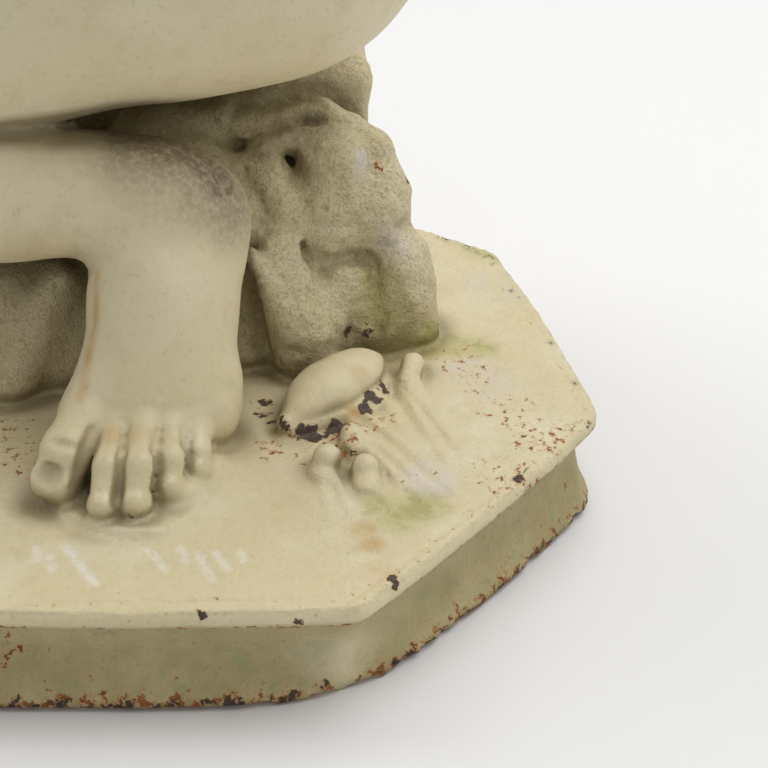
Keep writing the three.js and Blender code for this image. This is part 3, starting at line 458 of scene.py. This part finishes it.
def form(P,detail=True):
    d=part(P,torso,A(-90,-70,160),A(200,215,690))
    d=sm(d,part(P,thigh_left,A(-235,-60,110),A(180,100,325)),28)
    d=sm(d,part(P,leg_right,A(-240,40,50),A(115,200,470)),14)
    d=sm(d,part(P,lower_left,A(-235,-160,50),A(110,30,210)),3)
    d=sm(d,part(P,arm_left,A(-130,-100,260),A(200,50,630)),8)
    d=sm(d,part(P,arm_right,A(-290,60,300),A(-20,210,630)),8)
    d=sm(d,part(P,head,A(-80,-60,600),A(120,160,820)),8)
    r=part(P,rock,A(-215,-110,30),A(190,170,185))
    if detail: r=rock_rough(P,r)
    d=sm(d,r,3)
    b=plinth(P)
    b=sm(b,part(P,pad,A(50,-145,45),A(96,-95,72)),4.0)   # pad under the toes
    b=sm(b,part(P,shore,A(85,-145,44),A(200,-20,75)),3)
    return np.maximum(sm(d,b,3),-P[:,2])
# ================================================================ from the form to a surface
POOL = ThreadPoolExecutor(4)
def ev(f, P, chunk=12000):
    """the form's value at many points, in slices shared between threads"""
    if len(P) <= chunk: return f(P)
    return np.concatenate(list(POOL.map(f, [P[i:i+chunk] for i in range(0, len(P), chunk)])))
def adaptive(f, lo, hi, size_fn, h, levels, verbose=False):
    """dual surface of f=0 on an octree; h finest cell, size_fn(P)->wanted cell size"""
    lo=np.array(lo,float); n=np.ceil((np.array(hi)-lo)/h).astype(np.int64)
    s=1<<levels
    g=[np.arange(0,k+s,s) for k in n]
    C=np.stack(np.meshgrid(*g,indexing='ij'),-1).reshape(-1,3).astype(np.int64)
    B=1<<21
    key=lambda c:((c[:,0]*B)+c[:,1])*B+c[:,2]
    leaves={}
    nev=0
    for L in range(levels,-1,-1):
        s=1<<L
        ctr=lo+(C+s/2)*h
        v=ev(f,ctr); nev+=len(ctr)
        near=np.abs(v)<s*h*(1.5 if L else 1.2)+0.4*h
        C=C[near]; ctr=ctr[near]; v=v[near]
        if L==0: leaves[0]=C; break
        want=size_fn(ctr)
        split=want<s*h*0.75
        leaves[L]=C[~split]
        P=C[split]; hs=s//2
        off=np.array([[i,j,k] for i in(0,hs) for j in (0,hs) for k in (0,hs)],dtype=np.int64)
        C=(P[:,None,:]+off[None]).reshape(-1,3)
    # sorted key tables
    off0=0; tab={}; 
    for L in leaves:
        C=leaves[L]; k=key(C); o=np.argsort(k); leaves[L]=C[o]; tab[L]=(k[o],off0); off0+=len(C)
    ncell=off0
    def look(c,L):
        k=key(c); kt,o=tab[L]
        if len(kt)==0: return np.full(len(c),-1,np.int64)
        i=np.searchsorted(kt,k); i=np.minimum(i,len(kt)-1)
        return np.where(kt[i]==k,i+o,-1)
    # corners
    allc=[]
    for L,C in leaves.items():
        s=1<<L
        off=np.array([[i,j,k] for i in(0,s) for j in (0,s) for k in (0,s)],dtype=np.int64)
        allc.append((C[:,None,:]+off[None]).reshape(-1,3))
    allc=np.concatenate(allc); kk=key(allc); uk,ui=np.unique(kk,return_index=True)
    cv=ev(f,lo+allc[ui]*h); nev+=len(ui)
    val=lambda c: cv[np.searchsorted(uk,key(c))]
    accp=np.zeros((ncell,3)); accn=np.zeros(ncell); quads=[]
    for L,C in leaves.items():
        if len(C)==0: continue
        s=1<<L
        for ax in range(3):
            u,w=(ax+1)%3,(ax+2)%3
            es=[]
            for a in (0,s):
                for b in (0,s):
                    e=C.copy(); e[:,u]+=a; e[:,w]+=b; es.append(e)
            e=np.concatenate(es); _,i=np.unique(key(e),return_index=True); e=e[i]
            e2=e.copy(); e2[:,ax]+=s
            va,vb=val(e),val(e2)
            m=(va<0)!=(vb<0); e=e[m]; e2=e2[m]; va=va[m]; vb=vb[m]
            ids=[]
            for (a,b) in ((-s,-s),(0,-s),(0,0),(-s,0)):
                c=e.copy(); c[:,u]+=a; c[:,w]+=b
                idx=look(c,L)
                for M in range(L+1,levels+1):
                    miss=idx<0
                    if not miss.any(): break
                    S=1<<M
                    cc=(c[miss]//S)*S
                    idx[miss]=look(cc,M)
                ids.append(idx)
            ids=np.stack(ids,1)
            ok=(ids>=0).all(1)
            e=e[ok];e2=e2[ok];va=va[ok];vb=vb[ok];ids=ids[ok]
            t=(va/(va-vb))[:,None]
            x=lo+(e+(e2-e)*t)*h
            for k in range(4):
                np.add.at(accp,ids[:,k],x); np.add.at(accn,ids[:,k],1)
            flip=va>0
            q=ids.copy(); q[flip]=ids[flip][:,::-1]
            quads.append(q)
    q=np.concatenate(quads)
    used=np.unique(q); V=accp[used]/accn[used][:,None]
    lvl=np.zeros(ncell)
    for L in leaves: lvl[tab[L][1]:tab[L][1]+len(leaves[L])]=(1<<L)*h
    cs=lvl[used]
    q=np.searchsorted(used,q)
    # newton projection
    def grad(P,e):
        k=np.array([[1,-1,-1],[-1,-1,1],[-1,1,-1],[1,1,1]],float)
        g=np.zeros_like(P)
        for kk in k: g+=kk*ev(f,P+kk*e)[:,None]
        return g/(4*e)
    for it in range(2):
        v=ev(f,V); G=grad(V,0.25*h); g2=(G**2).sum(1)
        stp=(v/np.maximum(g2,0.05))[:,None]*G
        ln=np.linalg.norm(stp,axis=1); mx=0.5*cs
        stp*=np.minimum(1,mx/np.maximum(ln,1e-9))[:,None]
        V=V-stp; nev+=5*len(V)
    # triangles, split on the shorter diagonal
    d1=np.linalg.norm(V[q[:,0]]-V[q[:,2]],axis=1); d2=np.linalg.norm(V[q[:,1]]-V[q[:,3]],axis=1)
    a=d1<=d2
    T=np.concatenate([q[a][:,[0,1,2]],q[a][:,[0,2,3]],q[~a][:,[0,1,3]],q[~a][:,[1,2,3]]])
    bad=(T[:,0]==T[:,1])|(T[:,1]==T[:,2])|(T[:,0]==T[:,2])
    T=T[~bad]
    if verbose: print('cells',ncell,'evals',nev,'verts',len(V),'tris',len(T))
    return V,T
def cell(P):
    """wanted cell, in millimetres: fine on the face, the foot, the shell and the rock beside them"""
    z = P[:,2]; y = P[:,1]; x = P[:,0]
    s = np.full(len(P), 6.0)
    s[(z < 62)] = 3.0
    s[(z < 200) & (y < 60) & (x > -70)] = 3.0
    near = (z > 44) & (z < 150) & (y < -20) & (x > -40) & (x < 215)
    s[near] = 1.5
    boulder = (z > 50) & (z < 172) & (y < 46) & (x > 78) & (x < 200)
    s[boulder] = 1.5
    Q = (P-HD)@AH.T
    face = (np.abs(Q[:,0]) < 60) & (np.abs(Q[:,2]) < 92) & (Q[:,1] > -130)
    s[face] = 3.0
    face = (np.abs(Q[:,0]) < 42) & (np.abs(Q[:,2]+20) < 50) & (Q[:,1] > 28)
    s[face] = 1.5
    hands = np.minimum(((P-wrL-A(-50,0,-12))**2).sum(1), ((P-wrR-A(-50,-10,-14))**2).sum(1)) < 75**2
    s[hands] = 3.0
    feet = (z < 120) & (x < -150)
    s[feet] = 3.0
    crease = (z > 160) & (z < 190) & (y < 12) & (x > -60) & (x < 100)          # thighline
    s[crease] = np.minimum(s[crease], 3.0)
    s[z < 1] = 6.0
    return s*1.0
LO, HI = (-266, -212, -4.5), (266, 216, 830)
V, T = adaptive(form, LO, HI, cell, 2.0, 2)
def vertex_normals(V, T):
    n = np.cross(V[T[:,1]]-V[T[:,0]], V[T[:,2]]-V[T[:,0]])
    N = np.zeros_like(V)
    for k in range(3): np.add.at(N, T[:,k], n)
    return N/np.maximum(np.linalg.norm(N, axis=1), 1e-12)[:,None]
N = vertex_normals(V, T)
# ================================================================ what the weather has done, and where painted shade goes, worked out at every vertex
def cavity(d): return np.clip(1-ev(form, V+N*d)/d, 0, 1)
def smooth(a, b, x):
    t = np.clip((x-a)/(b-a), 0, 1); return t*t*(3-2*t)
x, y, z = V.T
# painted shade: darker the deeper a point sits in a hollow or crease
hollow_shade = np.clip(0.5*cavity(5.0)+0.7*cavity(16.0), 0, 1)
edge = np.clip(1+ev(form, V-N*3.0)/3.0, 0, 1)
rk = ev(lambda P: part(P, rock, A(-215,-110,30), A(190,170,185)), V)
isrock = smooth(4.5, 1.0, rk)*smooth(TOP+1, TOP+6, z)
dt = np.full(len(V), -99.0); m = z < 62; dt[m] = plinth_d2(V[m])[1]
outer = smooth(-14, -7, dt)
side = smooth(TOP-5.0, TOP-8.5, z)*outer
low = outer*smooth(12, 1.5, z)
under = outer*np.exp(-((z-41.5)/2.6)**2)
lip = outer*smooth(42, 45, z)
plate = smooth(0.6, 0.9, N[:,2])*smooth(64, 58, z)*(1-side)
def spots(L):
    """1 at the middle of a mark, 0 beyond its radius"""
    w = np.zeros(len(V))
    for (a, b, c, r, s) in L:
        d = np.sqrt((x-a)**2+(y-b)**2+(z-c)**2); w = np.maximum(w, s*smooth(r, r*0.25, d))
    return w
def run(L, r, inner=0.1):
    """a mark drawn along a line of places"""
    w = np.full(len(V), 1e9)
    for a, b in zip(L[:-1], L[1:]): w = np.minimum(w, cone(V, A(*a), A(*b), 0.0, 0.0))
    return smooth(r, r*inner, w)
heel = [(46,-40,176),(56,-41,177),(65,-45,175),(73,-43,171),(79,-43,166),(84,-46,161)]
grime_and_shade = np.clip(1.0*run(heel, 12)+0.75*run(heel+[(90,-48,150)], 30)+0.35*run([(50,-62,172),(70,-66,158)], 22), 0, 1)*smooth(0.7, 0.1, isrock)
# painted shade: the hollow under the shin darkened
grime_and_shade = np.maximum(grime_and_shade, 0.55*run([(-60,10,110),(-20,-14,110),(10,-10,90),(-30,-20,66)], 46, .3)*smooth(0.2,0.8,isrock))
grime_and_shade = np.maximum(grime_and_shade, 0.8*spots([(121,24,155,11,1),(114,15,156,9,.8),(105,11,154,8,.7),(128,14,157,8,.6),(100,5,150,8,.6)]))
instep = [(35,-76,129),(34,-82,122),(34,-88,113),(32,-93,104),(30,-100,96),(29,-108,90)]
crease = [(35,-10,172),(41,-10,173),(52,-9,175),(63,-8,178),(74,-8,180),(90,-5,182)]
ochre = np.maximum.reduce([0.8*run(instep, 4.5), spots([(43,-122,80,8,.5),(54,-122,80,8,.5),(147,-148,52,9,.8),(150,-157,52,8,.7),(153,-176,51,12,.6),(141,-69,56,6,1),(144,-54,68,7,.6),(15,-120,52,16,.35),(22,-80,53,26,.35)])])
moss = spots([(163,-14,61,15,1),(177,-6,56,16,1),(189,-5,52,15,1),(199,-8,52,14,.8),(155,-9,82,16,.8),(149,-6,89,12,.6),(152,-11,71,18,.9),(146,-11,78,14,.6),(162,-137,53,18,.6),(172,-132,52,17,.6),(155,-132,53,14,.5),(213,98,56,30,.5)])
black = spots([(118,-80,54,9,1),(123,-82,52,9,1),(111,-80,57,8,.8),(149,-57,56,8,1),(147,-65,55,7,1),(153,-49,56,8,.9),(133,-78,52,10,.9),(99,-56,52,12,.7),(139,-19,69,7,.9),(147,-14,66,7,.9),(104,-66,52,12,.6),(141,-99,54,5,.9),
               (8,-46,217,3.2,.9),(26,-44,218,3.2,.8),(30,-44,219,3,.9),(35,-44,219,4,.8),(51,-10,175,3.5,1),(54,-10,175,3,1),(85,-13,188,4,1),(52,-148,59,2.8,1),(152,14,138,3.5,.8),(96,1,136,4,.8),(166,19,128,3,1),(196,-18,52,3,.8),
               (36,-121,57,9,.8),(34,-128,55,7,.8),(38,-112,62,7,.5)])
lipspots = spots([(158,-178,52,4,1),(161,-183,51,4,1),(167,-173,52,3,1),(184,-158,52,4,1),(213,-113,52,5,1),(214,-125,52,4,.9),(230,-98,52,4,.9),(249,-70,52,5,1),(253,-76,51,5,1),(85,-198,50,3.5,.9),(150,-197,51,4,.8),(138,-200,49,4,.6),(121,-200,48,4,.6)])
black = np.maximum(black, lipspots)
rust = np.clip(spots([(152,14,138,6,1),(-8,-200,33,20,1),(8,-200,28,16,.9),(190,-18,52,26,.55),(200,-40,52,24,.45),(212,-60,52,30,.5),(222,-80,52,24,.6),(205,-110,52,30,.4),(196,-30,52,20,.5),(135,-88,53,22,.7),(112,-92,53,24,.6),(4,-95,52,34,.6),(-10,-80,53,30,.5),(150,-75,53,20,.6)])
               +0.75*under+0.85*low+0.42*side+0.30*lip+0.14*plate, 0, 1)
lilac = spots([(146,8,142,11,.9),(159,1,107,14,1),(160,6,100,12,.8),(196,-27,52,16,.8),(188,-29,52,14,.7),(175,-114,53,17,.8),(205,-40,52,20,.5),(215,55,52,30,.5),(9,-120,52,18,.5),(120,-100,53,20,.35)])
wet = np.maximum(spots([(c[0],c[1],c[2]+4,13,1) for c in TTIP]+[(c[0],c[1],c[2]+5,12,.8) for c in TMID]), 0.0)
scuff = run([(26.7,-158.7,52),(42.3,-182.2,52)], 2.6, .4)
for q in RIBS[10:]: scuff = np.maximum(scuff, 0.8*run([(q[0],q[1],52),(q[2],q[3],52)], 2.4, .4))
line = np.maximum(run(crease, 2.6, .3), 0.0)
# painted shade along the crease where the thigh lies on the shin
thigh_crease_shade = run([(-70,-30,178),(-30,-36,177),(-10,-36,177),(10,-36,176),(25,-34,175),(40,-34,176)], 5, .2)
def put(name, *cols):
    a = me.color_attributes.new(name, "FLOAT_COLOR", "POINT")
    a.data.foreach_set("color", np.stack(cols, 1).astype(np.float32).ravel())
me = bpy.data.meshes.new("statue_surface")
me.vertices.add(len(V)); me.vertices.foreach_set("co", (V/1000).astype(np.float32).ravel())
me.loops.add(3*len(T)); me.loops.foreach_set("vertex_index", T.astype(np.int32).ravel())
me.polygons.add(len(T)); me.polygons.foreach_set("loop_start", np.arange(0, 3*len(T), 3, dtype=np.int32))
me.polygons.foreach_set("loop_total", np.full(len(T), 3, np.int32))
me.polygons.foreach_set("use_smooth", np.ones(len(T), bool))
me.update(); me.validate()
put("shape", hollow_shade, edge, isrock, side)
put("place", low, grime_and_shade, moss, ochre)
put("mark", black, rust, lilac, lip)
put("finish", wet, scuff, line, thigh_crease_shade)
put("zone", plate, under, outer, outer*0+1)
statue = bpy.data.objects.new("statue", me)
bpy.context.scene.collection.objects.link(statue)
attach(statue, "root"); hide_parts("statue_casting")
# ---------------------------------------------------------------- material
mat = bpy.data.materials.new("weathered_cream_paint"); mat.use_nodes = True
nt = mat.node_tree; nt.nodes.clear()
def node(kind, **kw):
    n = nt.nodes.new(kind)
    for k, v in kw.items(): setattr(n, k, v)
    return n
def setin(n, name, v):
    if isinstance(v, bpy.types.NodeSocket): nt.links.new(v, n.inputs[name])
    else: n.inputs[name].default_value = v
def op(kind, a, b=None, c=None, clamp=False):
    n = node("ShaderNodeMath", operation=kind, use_clamp=clamp)
    for i, v in enumerate((a, b, c)):
        if v is not None: setin(n, i, v)
    return n.outputs[0]
def mul(a, *r):
    for b in r: a = op("MULTIPLY", a, b)
    return a
def add(a, *r):
    for b in r: a = op("ADD", a, b)
    return a
def clamp(a): return op("ADD", a, 0.0, clamp=True)
def mix(fac, a, b, blend="MIX"):
    n = node("ShaderNodeMix", data_type="RGBA", blend_type=blend, clamp_factor=True)
    setin(n, 0, fac); setin(n, 6, a); setin(n, 7, b)
    return n.outputs[2]
co = node("ShaderNodeTexCoord").outputs["Object"]
def spread(stretch, w):
    m = node("ShaderNodeMapping"); nt.links.new(co, m.inputs[0])
    m.inputs["Scale"].default_value = stretch or (1, 1, 1); m.inputs["Location"].default_value = (w, w*0.7, w*1.3)
    return m.outputs[0]
def tex(scale, detail=3.0, rough=0.55, stretch=None, w=0.0):
    n = node("ShaderNodeTexNoise"); nt.links.new(spread(stretch, w), n.inputs["Vector"])
    n.inputs["Scale"].default_value = scale; n.inputs["Detail"].default_value = detail; n.inputs["Roughness"].default_value = rough
    return n.outputs["Fac"]
def cells(scale, w=0.0):
    n = node("ShaderNodeTexVoronoi", feature="SMOOTH_F1"); nt.links.new(spread(None, w), n.inputs["Vector"])
    n.inputs["Scale"].default_value = scale; n.inputs["Smoothness"].default_value = 0.4
    return n.outputs["Distance"]
def ramp(v, a, b, lo=0.0, hi=1.0):
    n = node("ShaderNodeMapRange", interpolation_type="SMOOTHSTEP")
    setin(n, 0, v); setin(n, 1, a); setin(n, 2, b); setin(n, 3, lo); setin(n, 4, hi)
    return n.outputs[0]
def col(h):
    c = [int(h[i:i+2], 16)/255 for i in (0, 2, 4)]
    return tuple((x/12.92 if x <= 0.04045 else ((x+0.055)/1.055)**2.4) for x in c)+(1.0,)
def attr(name):
    n = node("ShaderNodeVertexColor", layer_name=name); s = node("ShaderNodeSeparateColor"); nt.links.new(n.outputs[0], s.inputs[0])
    return s.outputs[0], s.outputs[1], s.outputs[2], n.outputs[1]
a_hollow_shade, a_edge, a_rock, a_side = attr("shape")
a_low, a_grime_and_shade, a_moss, a_ochre = attr("place")
a_black, a_rust, a_lilac, a_lip = attr("mark")
a_wet, a_scuff, a_line, a_thigh_crease_shade = attr("finish")
a_plate, a_under, a_outer, _ = attr("zone")
big, mid, fine, grit = tex(7, 1), tex(34, 3), tex(190, 4, 0.65), tex(620, 3, 0.7)
blot = tex(75, 4, 0.62, w=2.2); speck = tex(330, 3, 0.7, w=5.2)
c = mix(ramp(big, 0.38, 0.62), col("e3d7b4"), col("dccfa8"))
c = mix(ramp(mid, 0.45, 0.75, 0, 0.5), c, col("eae1c6"))
c = mix(ramp(blot, 0.5, 0.72, 0, 0.35), c, col("cdbf94"))
c = mix(ramp(speck, 0.55, 0.75, 0, 0.35), c, col("b9a97e"))
c = mix(mul(a_rock, 0.35), c, col("c9bb90"))
c = mix(mul(a_rock, ramp(speck, 0.48, 0.66, 0, 0.5)), c, col("9c8c62"))
# painted shade: the plinth's sides made darker overall
c = mix(mul(a_side, ramp(mid, 0.3, 0.7, 0.6, 0.95)), c, col("ab9c68"))
c = mix(mul(a_side, ramp(blot, 0.52, 0.66, 0, 0.45)), c, col("9aa07a"))
# coloured stains
c = mix(mul(a_moss, ramp(mid, 0.3, 0.6, 0.45, 0.95)), c, col("b3ae62"))
c = mix(mul(a_moss, ramp(blot, 0.5, 0.62, 0, 0.5)), c, col("8c8a4a"))
c = mix(mul(a_ochre, ramp(blot, 0.35, 0.6, 0.4, 0.85)), c, col("c39a55"))
c = mix(mul(a_lilac, ramp(blot, 0.4, 0.58, 0.2, 0.8)), c, col("d8cfcb"))
# painted shade in hollows and creases; grime on the heel, dark spots on the rock and painted shade in the hollow under
# the shin; painted shade along the crease where the thigh meets the shin
c = mix(mul(ramp(a_hollow_shade, 0.10, 0.75), ramp(mid, 0.25, 0.6, 0.45, 0.75)), c, col("84744d"))
c = mix(mul(a_grime_and_shade, ramp(speck, 0.30, 0.6, 0.55, 1.0), 0.85), c, col("62533f"))
c = mix(mul(a_thigh_crease_shade, ramp(blot, 0.4, 0.6, 0.1, 0.6)), c, col("8b8568"))
# rust
rn = tex(270, 4, 0.64, w=3.1); th = op("SUBTRACT", 0.80, mul(a_rust, 0.27))
stain = ramp(rn, op("SUBTRACT", th, 0.09), op("ADD", th, 0.01))
spot = ramp(rn, op("SUBTRACT", th, 0.012), op("ADD", th, 0.02))
c = mix(mul(stain, 0.6), c, col("c08a48"))
c = mix(mul(spot, 0.9), c, mix(ramp(fine, 0.35, 0.65), col("9c5320"), col("5d2c18")))
c = mix(mul(a_line, ramp(speck, 0.35, 0.6, 0.3, 0.9)), c, col("c08338"))
# bare patches, dark metal
bn = tex(180, 4, 0.62, w=7.7); dens = clamp(add(mul(a_black, 0.92), mul(a_low, 0.66), mul(a_under, 0.42), mul(a_lip, 0.14), mul(a_side, 0.08), mul(a_plate, 0.03)))
tb = op("SUBTRACT", 0.79, mul(dens, 0.42))
rim = ramp(bn, op("SUBTRACT", tb, 0.05), tb)
bare = ramp(bn, tb, op("ADD", tb, 0.02))
c = mix(mul(rim, 0.55), c, col("a9733c"))
c = mix(mul(bare, 0.93), c, mix(ramp(speck, 0.4, 0.6), col("2b2422"), col("4a3a33")))
c = mix(mul(a_scuff, ramp(speck, 0.35, 0.55, 0.2, 0.8)), c, col("efeae0"))
b = node("ShaderNodeBsdfPrincipled")
nt.links.new(c, b.inputs["Base Color"])
r = ramp(fine, 0.25, 0.75, 0.40, 0.58)
r = mix(clamp(add(a_rock, a_side, mul(spot, 0.7), mul(bare, 0.4), mul(a_grime_and_shade, 0.5))), r, (0.72, 0.72, 0.72, 1))
r = mix(mul(a_wet, 0.85), r, (0.24, 0.24, 0.24, 1))
nt.links.new(r, b.inputs["Roughness"])
rough = clamp(add(a_rock, mul(a_side, 0.9), mul(a_plate, 0.40)))
pits = mul(ramp(speck, 0.36, 0.46, -1.0, 0.0), add(mul(a_rock, 0.8), mul(a_side, 0.3)))
h = add(mul(fine, add(0.42, mul(rough, 1.3))), mul(grit, add(0.16, mul(rough, 0.55))), mul(pits, 0.55), mul(bare, -0.30))
bump = node("ShaderNodeBump"); bump.inputs["Strength"].default_value = 1.0; bump.inputs["Distance"].default_value = 0.0011
nt.links.new(h, bump.inputs["Height"]); nt.links.new(bump.outputs[0], b.inputs["Normal"])
o = node("ShaderNodeOutputMaterial"); nt.links.new(b.outputs[0], o.inputs[0])
me.materials.append(mat)
# ---------------------------------------------------------------- floor, light, camera
fm = bpy.data.materials.new("pale_floor"); fm.use_nodes = True
fb = fm.node_tree.nodes["Principled BSDF"]; fb.inputs["Base Color"].default_value = (0.84, 0.84, 0.84, 1); fb.inputs["Roughness"].default_value = 0.8
ft = fm.node_tree; fn = ft.nodes.new("ShaderNodeTexNoise"); fn.inputs["Scale"].default_value = 90; fn.inputs["Detail"].default_value = 5
fc = ft.nodes.new("ShaderNodeTexCoord"); ft.links.new(fc.outputs["Object"], fn.inputs["Vector"])
fbm = ft.nodes.new("ShaderNodeBump"); fbm.inputs["Strength"].default_value = 0.3; fbm.inputs["Distance"].default_value = 0.001
ft.links.new(fn.outputs[0], fbm.inputs["Height"]); ft.links.new(fbm.outputs[0], fb.inputs["Normal"])
fmesh = bpy.data.meshes.new("floor"); s = 6.0
fmesh.from_pydata([(-s,-s,-0.0004),(s,-s,-0.0004),(s,s,-0.0004),(-s,s,-0.0004)], [], [(0,1,2,3)]); fmesh.materials.append(fm)
floor = bpy.data.objects.new("floor", fmesh); bpy.context.scene.collection.objects.link(floor)
world = bpy.data.worlds.new("studio"); bpy.context.scene.world = world; world.use_nodes = True
bg = world.node_tree.nodes["Background"]; bg.inputs[0].default_value = (1.0, 0.99, 0.98, 1); bg.inputs[1].default_value = 0.38
def lamp(name, loc, aim, size, watts, colour=(1,1,1)):
    L = bpy.data.lights.new(name, "AREA"); L.shape = "SQUARE"; L.size = size; L.energy = watts; L.color = colour
    o = bpy.data.objects.new(name, L); o.location = loc
    from mathutils import Vector
    o.rotation_euler = Vector([aim[i]-loc[i] for i in range(3)]).to_track_quat("-Z", "Y").to_euler()
    bpy.context.scene.collection.objects.link(o)
lamp("key", (1.5, 0.0, 2.1), (0.1, 0.0, 0.1), 1.3, 15)
lamp("top", (0.5, -0.7, 2.5), (0.1, 0.0, 0.0), 1.8, 7)
lamp("back", (0.6, 1.0, 2.6), (0.1, 0.1, 0.0), 2.0, 30)
lamp("strip", (-1.5, 0.8, 1.95), (0.05, 0.0, 0.1), 1.0, 14)
cam = bpy.data.cameras.new("camera"); cam.lens = 75; cam.sensor_width = 36; cam.clip_start = 0.02
camo = bpy.data.objects.new("camera", cam); camo.location = (0.155, -0.66297, 0.45721); camo.rotation_euler = (math.radians(57), 0, 0)
bpy.context.scene.collection.objects.link(camo); bpy.context.scene.camera = camo
bpy.context.scene.view_settings.view_transform = "Standard"
print("triangles", len(T), "vertices", len(V))
